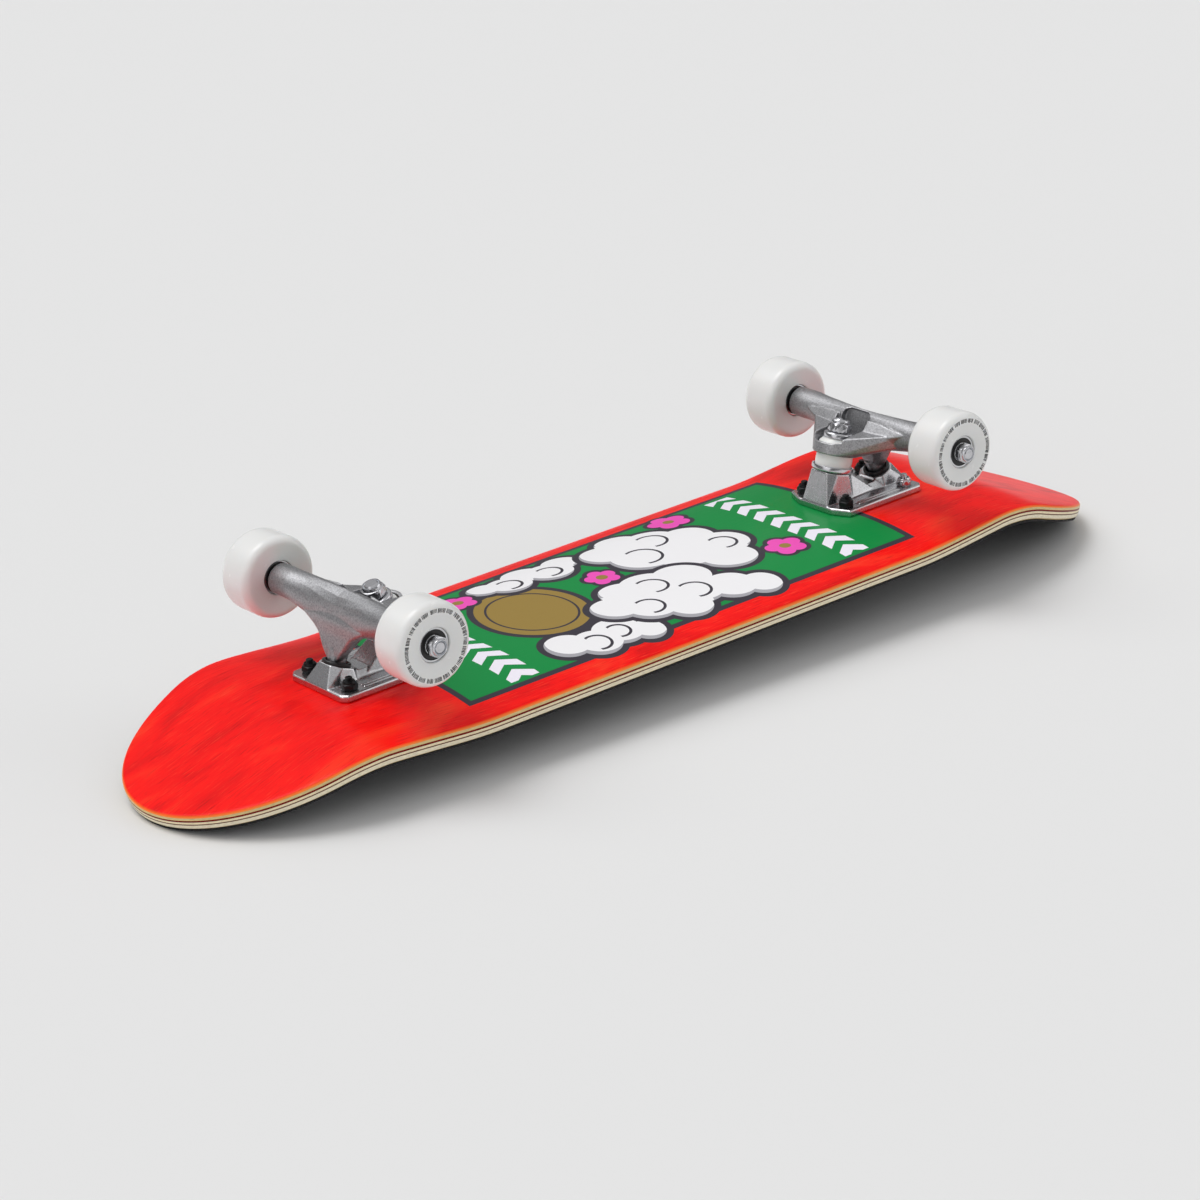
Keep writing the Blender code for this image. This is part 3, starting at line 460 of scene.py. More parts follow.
bushing_urethane = poured("poured_soft_urethane", "#EDEDEB", 0.30, 2.0, 0.02)[0]
nylon = poured("turned_nylon", "#A9ADB4", 0.40, 0.6, 0.01)[0]
shield_rubber = poured("moulded_black_rubber", "#101012", 0.42, 0.1, 0.03)[0]
cup_urethane = poured("moulded_black_urethane", "#0D0D0F", 0.36, 0.2, 0.02)[0]

# %% [markdown]
# The printed ring is drawn from the angle and the radius. The angle is cut into slots 0.85 mm
# wide, and a random value for each slot decides how wide and how tall its tick is, and whether
# the slot stays empty.

# %% Printed wheel urethane
PRINT_OUTER = 23.2
PRINT_INNER = 20.2
PRINT_SLOTS = 168

wheel_urethane, tree, shader, place, radius = poured("poured_hard_urethane", "#E9E9E8", 0.24, 2.5, 0.015)
parts = add(tree, "ShaderNodeSeparateXYZ", [place])
angle = calc(tree, "ARCTAN2", parts.outputs["Y"], parts.outputs["X"])
slots = calc(tree, "MULTIPLY", angle, PRINT_SLOTS / (2 * math.pi))
number = calc(tree, "FLOOR", slots)
inside = calc(tree, "FRACT", slots)
chance = add(tree, "ShaderNodeTexWhiteNoise", {"W": number}, noise_dimensions="1D").outputs["Value"]
width = remap(tree, chance, 0.5, 0.86)
drawn = calc(tree, "LESS_THAN", inside, width)
groups = calc(tree, "MULTIPLY", number, 0.13)
groups = calc(tree, "FRACT", groups)
groups = calc(tree, "LESS_THAN", groups, 0.84)
low = remap(tree, chance, PRINT_INNER + 0.5, PRINT_INNER)
over = calc(tree, "GREATER_THAN", radius, low)
under = calc(tree, "LESS_THAN", radius, PRINT_OUTER)
outer_face = calc(tree, "GREATER_THAN", parts.outputs["Z"], 12.0)
ink = drawn
for limit in (groups, over, under, outer_face):
    ink = calc(tree, "MULTIPLY", ink, limit)
printed = mix(tree, ink, linear("#E9E9E8"), linear("#0C0C0D"))
feed(shader, "Base Color", printed)
print("urethane:", wheel_urethane.name, bushing_urethane.name)

# %% [markdown]
# ## The deck's shape
# A deck is seven sheets of maple veneer, glued and pressed in a mould and then sawn to outline.
# The mould bends up nose and tail and lifts the side edges, which riders call concave. The shape
# is kept as a function: along the board, across it, and down through its thickness. Everything
# on the deck, such as its plies, its print and its grit paper, uses that same function.

# %% The deck as a function of place along, across and down
DECK_WIDTH = 194.0
DECK_THICKNESS = 10.6
FLAT_HALF_WIDTH = 28.0
CONCAVE_DEPTH = 8.7
CONCAVE_AT_KICK = 3.4
CONCAVE_FADE_LENGTH = 88.0
CONCAVE_FADE_PAST_KICK = 9.0
KICK_BEND_RADIUS = 123.0
TAIL = {"sign": -1, "length": 380.8, "kick_start": 255.3, "kick_angle": math.radians(17.8),
        "taper_start": 230.5, "taper_power": 2.36}
NOSE = {"sign": 1, "length": 409.8, "kick_start": 253.4, "kick_angle": math.radians(22.6),
        "taper_start": 220.8, "taper_power": 2.16}


def deck_point(s, y, depth):
    """s runs along the face, negative toward the tail; depth is measured down from the face."""
    end = TAIL if s < 0 else NOSE
    run = abs(s)
    start = end["kick_start"]
    slope = min(max(0.0, (run - start) / KICK_BEND_RADIUS), end["kick_angle"])
    straight = max(0.0, run - start - KICK_BEND_RADIUS * end["kick_angle"])
    out = min(run, start) + KICK_BEND_RADIUS * math.sin(slope) + straight * math.cos(slope)
    height = -KICK_BEND_RADIUS * (1 - math.cos(slope)) - straight * math.sin(slope)
    fade = (run - start - CONCAVE_FADE_PAST_KICK + CONCAVE_FADE_LENGTH) / CONCAVE_FADE_LENGTH
    fade = min(1.0, max(0.0, fade))
    concave = CONCAVE_DEPTH + (CONCAVE_AT_KICK - CONCAVE_DEPTH) * fade * fade * (3 - 2 * fade)
    side = max(0.0, abs(y) - FLAT_HALF_WIDTH) / (DECK_WIDTH / 2 - FLAT_HALF_WIDTH)
    out -= depth * math.sin(slope)
    height -= depth * math.cos(slope) + concave * side ** 2
    return end["sign"] * out, y, height


def outline_rows(end):
    """(distance along, half width) from the middle of the board to just short of the tip."""
    rows = [(run, DECK_WIDTH / 2) for run in np.arange(6.0, end["taper_start"], 6.0)]
    reach = end["length"] - end["taper_start"]
    for turn in np.radians(np.linspace(3.0, 87.5, 44)):
        rows.append((end["taper_start"] + reach * math.sin(turn) ** (2 / end["taper_power"]),
                     DECK_WIDTH / 2 * math.cos(turn)))
    return rows


COLUMNS = 45
rows_tail = [(-run, half) for run, half in reversed(outline_rows(TAIL))]
outline = rows_tail + [(0.0, DECK_WIDTH / 2)] + outline_rows(NOSE)
print(len(outline), "rows across the deck")

# %% [markdown]
# The sheet is built like a pie crust: a grid for the face, a grid for the underside and a rim
# between them. The rim follows the outline's own direction, so its rounding is even all the way
# round, tips included. made_mm here holds the place along, across and down, in millimetres.

# %% Build a sheet that follows the deck
def board_sheet(top, bottom, inset, edge_out, edge_down):
    last = len(outline) - 1
    shares = np.linspace(-1, 1, COLUMNS)
    grid = np.zeros((last + 1, COLUMNS, 2))
    for row, (s, half) in enumerate(outline):
        grid[row, :, 0] = s
        grid[row, :, 1] = shares * half
    for row, end in ((0, TAIL), (last, NOSE)):
        tip = end["sign"] * end["length"]
        grid[row, :, 0] = tip + (outline[row][0] - tip) * shares ** 2
    keys = [(row, COLUMNS - 1) for row in range(last + 1)]
    keys += [(last, column) for column in range(COLUMNS - 2, 0, -1)]
    keys += [(row, 0) for row in range(last, -1, -1)] + [(0, column) for column in range(1, COLUMNS - 1)]
    loop = np.array([grid[key] for key in keys])
    direction = np.roll(loop, -1, axis=0) - np.roll(loop, 1, axis=0)
    outward = np.stack([direction[:, 1], -direction[:, 0]], axis=1)
    outward /= np.linalg.norm(outward, axis=1)[:, None]
    if np.sum(outward[:, 1] * loop[:, 1]) < 0:
        outward = -outward
    face_edge = loop - outward * (inset + edge_out)
    for key, point in zip(keys, face_edge):
        grid[key] = point
    for row in range(1, last):
        left, right = grid[row, 0].copy(), grid[row, COLUMNS - 1].copy()
        grid[row] = left + (right - left) * ((shares + 1) / 2)[:, None]

    flat = [tuple(point) for point in grid.reshape(-1, 2)]
    made = [(s, y, top) for s, y in flat]
    turns = [math.pi / 2 * step / 5 for step in range(1, 6)]
    levels = [(edge_out * math.sin(t), top + edge_down * (1 - math.cos(t))) for t in turns]
    levels += [(edge_out * math.sin(t), bottom - edge_down * (1 - math.cos(t))) for t in reversed(turns)]
    for out, depth in levels:
        made += [(*(point + normal * out), depth) for point, normal in zip(face_edge, outward)]
    below = len(made)
    made += [(s, y, bottom) for s, y in flat]

    rings = [[row * COLUMNS + column for row, column in keys]]
    count = len(keys)
    rings += [[len(flat) + level * count + index for index in range(count)] for level in range(len(levels))]
    rings.append([below + row * COLUMNS + column for row, column in keys])
    faces = []
    for offset in (0, below):
        for row in range(last):
            for column in range(COLUMNS - 1):
                corner = offset + row * COLUMNS + column
                faces.append((corner, corner + 1, corner + COLUMNS + 1, corner + COLUMNS))
    for low, high in zip(rings, rings[1:]):
        for index in range(count):
            after = (index + 1) % count
            faces.append((low[index], low[after], high[after], high[index]))
    return make_mesh([deck_point(*place) for place in made], faces, made)


# %% [markdown]
# ## Cutting and joining with modifiers
# The bolt holes, and later the pockets in the castings, are cut with Boolean modifiers on
# throwaway objects, and the finished mesh is read back. A casting then gets a voxel remesh and a
# little smoothing: that melts its parts into one skin and gives every inside corner the fillet
# that lets metal flow in a mould.

# %% Carve a mesh
def carved(shape, joined=(), removed=(), voxel=0.0, smoothing=0):
    """Each of joined and removed is (mesh, placing); everything is in millimetres."""
    helpers = []

    def helper(mesh, placing):
        thing = add_object("helper", mesh)
        thing.matrix_world = placing
        helpers.append(thing)
        return thing

    body = helper(shape, Matrix())
    for operation, group in (("UNION", joined), ("DIFFERENCE", removed)):
        for mesh, placing in group:
            modifier = body.modifiers.new("cut", "BOOLEAN")
            modifier.operation = operation
            modifier.solver = "EXACT"
            modifier.object = helper(mesh, placing)
    if voxel:
        modifier = body.modifiers.new("skin", "REMESH")
        modifier.mode = "VOXEL"
        modifier.voxel_size = voxel
    if smoothing:
        modifier = body.modifiers.new("tumble", "SMOOTH")
        modifier.iterations = smoothing
        modifier.factor = 0.5
    bpy.context.view_layer.update()
    evaluated = body.evaluated_get(bpy.context.evaluated_depsgraph_get())
    result = bpy.data.meshes.new_from_object(evaluated)
    for thing in helpers:
        bpy.data.objects.remove(thing)
    return result


def placing_mm(x=0.0, y=0.0, z=0.0, turn_y=0.0, turn_z=0.0):
    """The same placing as moved(), for shapes that are still in millimetres."""
    matrix = moved(x, y, z, turn_y, turn_z)
    matrix.translation /= MM
    return matrix


# %% Press the deck and lay the grit paper
HOLE_SPACING_X = 53.98
HOLE_SPACING_Y = 41.28
BOLT_RADIUS = 2.4
BOLT_HEAD_RADIUS = 4.6
BOLT_HEAD_HEIGHT = 2.6
PAPER_FACE = DECK_THICKNESS + 1.3      # the grit paper's outer face, measured from the painted face

bolt_places = [(x * HOLE_SPACING_X / 2, y * HOLE_SPACING_Y / 2)
               for x, y in ((1, 1), (1, -1), (-1, -1), (-1, 1))]
hole = BOLT_RADIUS + 0.3
head = BOLT_HEAD_RADIUS + 0.25
countersink = [(0.01, 3.0), (hole, 3.0), (hole, -PAPER_FACE + BOLT_HEAD_HEIGHT + 0.3),
               (head, -PAPER_FACE + 0.4),
               (head, -PAPER_FACE - 2.0), (0.01, -PAPER_FACE - 2.0)]
drill = turned(countersink, 32, closed=False)
drills = []
for side in (-1, 1):
    for x, y in bolt_places:
        drills.append((drill, placing_mm(side * truck_reach + x, y)))


def drilled(sheet):
    """Cuts the bolt holes, then writes made_mm again from each point's place on the flat middle."""
    mesh = carved(sheet, removed=drills)
    made = np.zeros(len(mesh.vertices) * 3, dtype=np.float32)
    mesh.attributes["made_mm"].data.foreach_get("vector", made)
    made = made.reshape(-1, 3)
    for index, vertex in enumerate(mesh.vertices):
        near = min(abs(abs(vertex.co.x) - truck_reach - x)
                   for x in (-HOLE_SPACING_X / 2, HOLE_SPACING_X / 2))
        if near < 6.0 and abs(abs(vertex.co.y) - HOLE_SPACING_Y / 2) < 6.0:
            made[index] = (vertex.co.x, vertex.co.y, -vertex.co.z)
    keep_made(mesh, made)
    return mesh


deck_shape = drilled(board_sheet(0.0, DECK_THICKNESS, 0.0, 2.9, 2.7))
paper_shape = drilled(board_sheet(DECK_THICKNESS + 0.02, PAPER_FACE, 1.1, 0.25, 0.25))
print("deck:", len(deck_shape.polygons), "faces; grit paper:", len(paper_shape.polygons), "faces")

# %% [markdown]
# ## Stained and printed maple
# The face veneer is soaked in red stain and lacquered. Stain sinks unevenly into the pores, so
# fine streaks run along the board, some paler, and sanded edges glow orange where it is thin.
# The edge shows the seven plies, each 1.5 mm: stained, natural and dark ones in turn.

# %% Stained veneer and plies
PLY = DECK_THICKNESS / 7

maple, tree, shader = start_material("stained_pressed_maple", Specular_IOR_Level=0.10, Coat_Roughness=0.12)
place = made_place(tree)
split = add(tree, "ShaderNodeSeparateXYZ", [place])
board_s, board_y, depth = split.outputs["X"], split.outputs["Y"], split.outputs["Z"]
stretched = squeeze(tree, place, (1 / 16.0, 1 / 1.1, 1 / 1.1))
pores = noise(tree, stretched, 1.0, 6.0, Roughness=0.62)
wide = squeeze(tree, place, (1 / 85.0, 1 / 34.0, 1 / 34.0))
figure = noise(tree, wide, 1.0, 4.0, Distortion=0.8)
stain = ramp(tree, figure, [
    (0.30, linear("#D80003")), (0.46, linear("#F60204")), (0.58, linear("#FF0C06")),
    (0.72, linear("#FF3418"))])
pale = ramp(tree, pores, [(0.56, grey(0)), (0.78, grey(0.75))])
veneer = mix(tree, pale, stain, linear("#FF5A38"))
deep = ramp(tree, pores, [(0.26, grey(0.62)), (0.44, grey(1))])
veneer = mix(tree, 1.0, veneer, deep, "MULTIPLY")
share_down = calc(tree, "MULTIPLY", depth, 1 / DECK_THICKNESS)
edge_glow = ramp(tree, share_down, [(0.012, grey(0)), (0.11, grey(0.9))])
veneer = mix(tree, edge_glow, veneer, linear("#FF9440"))

plies = ramp(tree, share_down, [
    (0.0, linear("#FF7A2E")), (1 / 7, linear("#E9CF94")), (2 / 7, linear("#7E120B")),
    (3 / 7 - 0.02, linear("#FFEFC9")), (4 / 7 - 0.02, linear("#6B3A1C")),
    (4 / 7 + 0.05, linear("#FFF3D6")), (6 / 7 + 0.02, linear("#D9BC84"))])
plies.color_ramp.interpolation = "CONSTANT"
sawn = squeeze(tree, place, (1 / 3.0, 1 / 3.0, 1 / 0.25))
sawn = noise(tree, sawn, 1.0, 5.0)
shade = ramp(tree, sawn, [(0.30, grey(0.72)), (0.62, grey(1))])
plies = mix(tree, 1.0, plies, shade, "MULTIPLY")
in_edge = calc(tree, "GREATER_THAN", depth, PLY)

# %% [markdown]
# ## The print
# The underside carries a screen print in flat colours. This one is made up: a green panel with a
# charcoal frame, and on it a gold sun, white clouds and pink blossoms. Each motif is drawn from its
# distance to a centre, so its edge is sharp at any size, and each lies over the one before, as
# inks are printed.

# %% Print the panel
CHARCOAL = linear("#3B3740")
GREEN = linear("#0E8C43")
GOLD = linear("#9A8040")
WHITE = linear("#F3F2F4")
PINK = linear("#F254BC")
PANEL_HALF_LENGTH = 187.5
PANEL_HALF_WIDTH = 79.0
FRAME_LINE = 4.6


def oval(x, y, radius_x, radius_y):
    """Distance from the edge of an oval, in millimetres, negative inside."""
    mean = (radius_x + radius_y) / 2
    shifted = vector_calc(tree, "SUBTRACT", place, (x, y, 0))
    scaled = vector_calc(tree, "MULTIPLY", shifted, (mean / radius_x, mean / radius_y, 0))
    length = vector_calc(tree, "LENGTH", scaled).outputs["Value"]
    return calc(tree, "SUBTRACT", length, mean)


def ink_inside(below, distance, limit, colour):
    """Prints colour over below wherever distance is under limit."""
    mask = calc(tree, "LESS_THAN", distance, limit)
    return mix(tree, mask, below, colour)


side_s = calc(tree, "ABSOLUTE", board_s)
side_y = calc(tree, "ABSOLUTE", board_y)
past_s = calc(tree, "SUBTRACT", side_s, PANEL_HALF_LENGTH)
past_y = calc(tree, "SUBTRACT", side_y, PANEL_HALF_WIDTH)
panel = calc(tree, "MAXIMUM", past_s, past_y)
printed = ink_inside(veneer, panel, 0.0, CHARCOAL)
printed = ink_inside(printed, panel, -FRAME_LINE, GREEN)

# %% [markdown]
# A cloud is a handful of discs drawn as one: the smallest of their distances gives a single
# scalloped outline. The same union moved by a few millimetres gives each cloud a grey underside,
# and a thin arc in some discs makes the scrolls of an old woodcut sky. A blossom is five discs
# round a gold one.

# %% Print the sun, the clouds and the blossoms
OUTLINE_LINE = 4.6
SOFT_GREY = linear("#A9A8AE")
CLOUDS = (
    ((-92, -56, 15), (-74, -64, 16), (-54, -60, 17), (-38, -70, 12)),
    ((-70, 58, 12), (-54, 52, 16), (-36, 60, 15), (-22, 50, 17), (-6, 58, 13)),
    ((22, 44, 18), (42, 56, 16), (58, 40, 20), (78, 26, 19), (88, 2, 19), (74, -20, 20),
     (58, 6, 26), (36, 22, 24)),
    ((-34, -34, 17), (-16, -46, 19), (4, -60, 17), (22, -46, 20), (44, -56, 18),
     (62, -66, 14), (30, -24, 20), (6, -22, 22), (-14, -18, 17)),
)
SCROLLS = ((-54, 52, 9), (-22, 50, 9), (58, 40, 11), (88, 2, 10), (36, 22, 13),
           (22, -46, 11), (-16, -46, 10), (6, -22, 11), (-74, -64, 9), (-54, -60, 8))
BLOSSOMS = ((92, 62, 10.5), (112, -34, 10.0), (-96, 52, 9.0), (-6, 14, 8.5))


def union(discs, shift=0.0):
    nearest = None
    for x, y, radius in discs:
        distance = oval(x + shift, y + shift, radius, radius)
        nearest = distance if nearest is None else calc(tree, "MINIMUM", nearest, distance)
    return nearest


def blossom_petals(x, y, size):
    turns = [math.radians(72 * step + 20) for step in range(5)]
    return [(x + size * 0.82 * math.cos(turn), y + size * 0.82 * math.sin(turn), size * 0.62)
            for turn in turns]


sun_disc = oval(-74, 2, 35, 42)
for limit, colour in ((OUTLINE_LINE, CHARCOAL), (0.0, GOLD), (-7.0, CHARCOAL), (-8.6, GOLD)):
    printed = ink_inside(printed, sun_disc, limit, colour)
for discs in CLOUDS:
    whole = union(discs)
    printed = ink_inside(printed, whole, OUTLINE_LINE, CHARCOAL)
    printed = ink_inside(printed, whole, 0.0, SOFT_GREY)
    lit = calc(tree, "MAXIMUM", whole, union(discs, 3.0))
    printed = ink_inside(printed, lit, 0.0, WHITE)
for x, y, radius in SCROLLS:
    line = calc(tree, "ABSOLUTE", oval(x, y, radius, radius))
    beyond = calc(tree, "SUBTRACT", x - 0.3 * radius, board_s)
    line = calc(tree, "MAXIMUM", line, beyond)
    printed = ink_inside(printed, line, 1.0, CHARCOAL)
for x, y, size in BLOSSOMS:
    petals = union(blossom_petals(x, y, size))
    for distance, limit, colour in ((petals, 3.2, CHARCOAL), (petals, 0.0, PINK),
                                    (oval(x, y, 4, 4), 0.0, GOLD)):
        printed = ink_inside(printed, distance, limit, colour)
print(len(CLOUDS), "clouds,", len(BLOSSOMS), "blossoms")

# %% [markdown]
# A band of slanted white chevrons crosses each end of the panel. fract() cuts the width into equal
# steps, and adding a share of the distance from the band's middle bends each bar into an arrow.

# %% Print the chevron bands
CHEVRON_STEP = 17.0
CHEVRON_SHARE = 0.56
CHEVRON_BEND = 0.75


def print_chevrons(below, middle, half_height, low_y, high_y):
    from_middle = calc(tree, "SUBTRACT", board_s, middle)
    height = calc(tree, "ABSOLUTE", from_middle)
    bent = calc(tree, "MULTIPLY_ADD", height, CHEVRON_BEND, board_y)
    steps = calc(tree, "MULTIPLY", bent, 1 / CHEVRON_STEP)
    steps = calc(tree, "FRACT", steps)
    in_bar = calc(tree, "LESS_THAN", steps, CHEVRON_SHARE)
    mask = calc(tree, "LESS_THAN", height, half_height)
    above = calc(tree, "GREATER_THAN", board_y, low_y)
    before = calc(tree, "LESS_THAN", board_y, high_y)
    for limit in (in_bar, above, before):
        mask = calc(tree, "MULTIPLY", mask, limit)
    return mix(tree, mask, below, linear("#F4F0FB"))


printed = print_chevrons(printed, 141.5, 10.5, -72.0, 70.0)
printed = print_chevrons(printed, -138.5, 11.0, -72.0, 26.0)

# %% [markdown]
# The print lies on the face only, under the lacquer. Below the first ply the sawn edge shows.
# A coat over the whole shader stands for the lacquer, and the wood's pores dent it slightly.

# %% Finish the maple
on_face = calc(tree, "LESS_THAN", depth, 0.9)
face = mix(tree, on_face, veneer, printed)
wood = mix(tree, in_edge, face, plies)
feed(shader, "Base Color", wood)
feed(shader, "Roughness", remap(tree, pores, 0.44, 0.30))
shader.inputs["Coat Weight"].default_value = 0.06
dent(tree, shader, 0.35, 0.08, pores)
show("printed_deck", deck_shape, board_frame, maple, "root", ["deck"])

# %% [markdown]
# ## Grit paper
# The riding side is covered with black paper coated in silicon carbide, 80 grit: grains of about
# 0.2 mm with flat faces that sparkle. They are drawn at 0.5 mm, because finer grains would not
# show in a picture of the whole board.

# %% Grit paper
grit, tree, shader = start_material("silicon_carbide_grit_paper", Roughness=0.9)
place = made_place(tree)
cells = add(tree, "ShaderNodeTexVoronoi", {"Vector": place, "Scale": 1 / 0.5})
glints = add(tree, "ShaderNodeSeparateColor", [cells.outputs["Color"]])
sparkle = calc(tree, "GREATER_THAN", glints, 0.93)
colours = mix(tree, glints, linear("#0B0B0C"), linear("#26262A"))
feed(shader, "Base Color", colours)
rough = calc(tree, "MULTIPLY_ADD", sparkle, -0.6, 0.92)
feed(shader, "Roughness", rough)
dent(tree, shader, 0.9, 0.3, cells)
show("grit_paper", paper_shape, board_frame, grit, "root", ["grip_tape"])
print("deck and grit paper done")

# %% [markdown]
# ## Truck places
# Everything on a truck is placed from three lines: the kingpin, which leans toward the board's
# middle, the pivot, which leans the other way, and the axle. A place on the kingpin is a distance
# from the deck's face along the kingpin, in the order in which a mechanic stacks the pieces.

# %% Kingpin, pivot and axle frames
KINGPIN_FOOT = 27.2
KINGPIN_LEAN = 17.0
KINGPIN_RADIUS = 4.7
KINGPIN_START = 4.4
KINGPIN_LENGTH = 56.0
KINGPIN_HEAD_HEIGHT = 5.6
KINGPIN_FLATS = 14.2
KINGPIN_NUT_HEIGHT = 8.2
TOWER_TOP = 24.2
WASHER_THICKNESS = 1.5
SEAT_GAP = 0.3
BOARD_BUSHING_START = TOWER_TOP + WASHER_THICKNESS + 2 * SEAT_GAP
BOARD_BUSHING_LENGTH = 11.4
WEB_START = BOARD_BUSHING_START + BOARD_BUSHING_LENGTH + SEAT_GAP
WEB_END = WEB_START + 3.4
RING_START = WEB_START - 1.5
RING_END = WEB_END + 4.9
ROAD_BUSHING_START = WEB_END + SEAT_GAP
ROAD_BUSHING_LENGTH = 7.8
ROAD_WASHER_START = ROAD_BUSHING_START + ROAD_BUSHING_LENGTH + SEAT_GAP
KINGPIN_NUT_START = ROAD_WASHER_START + WASHER_THICKNESS + SEAT_GAP


def kingpin_point(distance):
    lean = math.radians(KINGPIN_LEAN)
    return Vector((KINGPIN_FOOT - distance * math.sin(lean), 0.0, distance * math.cos(lean)))


def kingpin_mm(distance):
    return placing_mm(*kingpin_point(distance), turn_y=-KINGPIN_LEAN)


PIVOT_PLACE = placing_mm(-22.7, 0.0, 9.9, turn_y=20.0)
AXLE_PLACE = placing_mm(AXLE_X, 0.0, AXLE_HEIGHT) @ Matrix.Rotation(-math.pi / 2, 4, "X")


def on_truck(end, placing):
    """A placing in the truck's millimetres, turned into the world's metres."""
    inner = placing.copy()
    inner.translation *= MM
    return truck_frames[end] @ inner


# %% [markdown]
# ## The hanger
# The hanger is one casting: a beam round the axle, a deep V plate that runs down to the pivot
# nose, and a ring for the bushings. Each of these is a simple skinned or hulled shape. A section
# across the beam is a circle at the arms and a faceted outline in the middle, and every section
# between the two is a mix of both, so the facets grow out of the round arm as they do on a
# pattern maker's original.

# %% Beam of the hanger
ARM_RADIUS = 10.2
COLLAR_RADIUS = 7.4
WHEEL_CENTRE_Y = 80.8
ARM_END = WHEEL_CENTRE_Y - 4.8 - 7.0 - 0.3 - 1.0 - 0.3
ARM_WAIST = 49.0
TOP = AXLE_HEIGHT + ARM_RADIUS
ANGLES = (0, 28, 56, 84, 100, 118, 139, 175, 215, 255, 290, 325)
MIDDLE = (
    (AXLE_X + 10.9, TOP - 12.0), (AXLE_X + 9.4, TOP - 6.0), (AXLE_X + 6.9, TOP - 1.6), (AXLE_X + 2.9, TOP),
    (AXLE_X - 2.8, TOP - 3.2), (AXLE_X - 6.1, TOP - 8.4), (AXLE_X - 7.2, TOP - 14.0),
    (AXLE_X - 7.0, TOP - 22.0),
    (AXLE_X - 7.1, TOP - 27.5), (AXLE_X - 0.6, TOP - 29.0), (AXLE_X + 6.4, TOP - 28.0),
    (AXLE_X + 10.4, TOP - 22.0),
)
FINE = 4      # points on each side of a section


def beam_row(y, mix, radius=ARM_RADIUS):
    row = []
    for index, angle in enumerate(ANGLES):
        after = (index + 1) % len(ANGLES)
        next_angle = ANGLES[after] + (360 if after == 0 else 0)
        for step in range(FINE):
            share = step / FINE
            turn = math.radians(angle + (next_angle - angle) * share)
            round_point = Vector((AXLE_X + radius * math.cos(turn), AXLE_HEIGHT + radius * math.sin(turn)))
            flat_point = Vector(MIDDLE[index]).lerp(Vector(MIDDLE[after]), share)
            point = round_point.lerp(flat_point, mix)
            row.append((point.x, y, point.y))
    return row


def beam_shape():
    half = [beam_row(ARM_END, 0, COLLAR_RADIUS), beam_row(ARM_END - 1.4, 0, COLLAR_RADIUS)]
    half.append(beam_row(ARM_END - 1.5, 0, ARM_RADIUS))
    half += [beam_row(y, 0) for y in (62.0, 56.0, ARM_WAIST)]
    half += [beam_row(ARM_WAIST * (1 - step / 14), step / 14) for step in range(1, 14)]
    centre = beam_row(0.0, 1.0)
    other = [[(x, -y, z) for x, y, z in row] for row in reversed(half)]
    return make_mesh(*skin(half + [centre] + other, False))


# %% [markdown]
# The V plate narrows to the nose in a smooth curve. Its widths are known at five heights, and a
# curve through those gives the rest. The ring and its two arms are one hull, so the arms leave
# the ring at a tangent.

# %% V plate, nose and ring
def eased_rows(rows, steps):
    """More rows on a smooth curve through the given ones."""
    keys = [np.array(row, dtype=float) for row in rows]
    keys = [2 * keys[0] - keys[1]] + keys + [2 * keys[-1] - keys[-2]]
    result = []
    for a, b, c, d in zip(keys, keys[1:], keys[2:], keys[3:]):
        for step in range(steps):
            t = step / steps
            result.append(0.5 * (2 * b + (c - a) * t + (2 * a - 5 * b + 4 * c - d) * t * t
                                 + (3 * b - a - 3 * c + d) * t ** 3))
    return result + [keys[-2]]


def mirrored(side):
    return side + [(x, -y, z) for x, y, z in reversed(side)]


def plate_shape():
    nose_top = PIVOT_PLACE @ Vector((0, 0, 7.8))
    rows = (
        (nose_top.z + 0.5, 6.2, nose_top.x - 4.6, nose_top.x + 5.2), (24.0, 11.5, -24.0, -12.5),
        (33.0, 20.0, -22.0, -8.0), (41.5, 37.0, -21.2, -6.0), (46.0, 42.0, -19.5, -8.0),
    )
    loops = []
    for z, half, outer, inner in eased_rows(rows, 6):
        side = [(inner, half * 0.55, z), (inner - 2.5, half * 0.9, z), (outer + 3.0, half, z),
                (outer + 0.4, half * 0.86, z), (outer, half * 0.78, z)]
        loops.append(mirrored(side))
    return make_mesh(*skin(loops, False))


BALL_RADIUS = 5.4
NOSE_RADIUS = 6.0
ball = [(BALL_RADIUS * math.cos(math.radians(d)), -BALL_RADIUS * math.sin(math.radians(d)))
        for d in range(85, 0, -10)]
nose_shape = turned(ball + [(NOSE_RADIUS, 6.3), (NOSE_RADIUS + 0.6, 13.3)], 32, closed=False)


def hull(points):
    shell = bmesh.new()
    for point in points:
        shell.verts.new(point)
    result = bmesh.ops.convex_hull(shell, input=shell.verts)
    inside = [item for item in result["geom_interior"] if isinstance(item, bmesh.types.BMVert)]
    bmesh.ops.delete(shell, geom=inside, context="VERTS")
    mesh = bpy.data.meshes.new("hull")
    shell.to_mesh(mesh)
    shell.free()
    keep_made(mesh, [vertex.co for vertex in mesh.vertices])
    return mesh


def circle_mm(placing, radius, sides=64):
    turns = [2 * math.pi * index / sides for index in range(sides)]
    return [placing @ Vector((radius * math.cos(t), radius * math.sin(t), 0)) for t in turns]


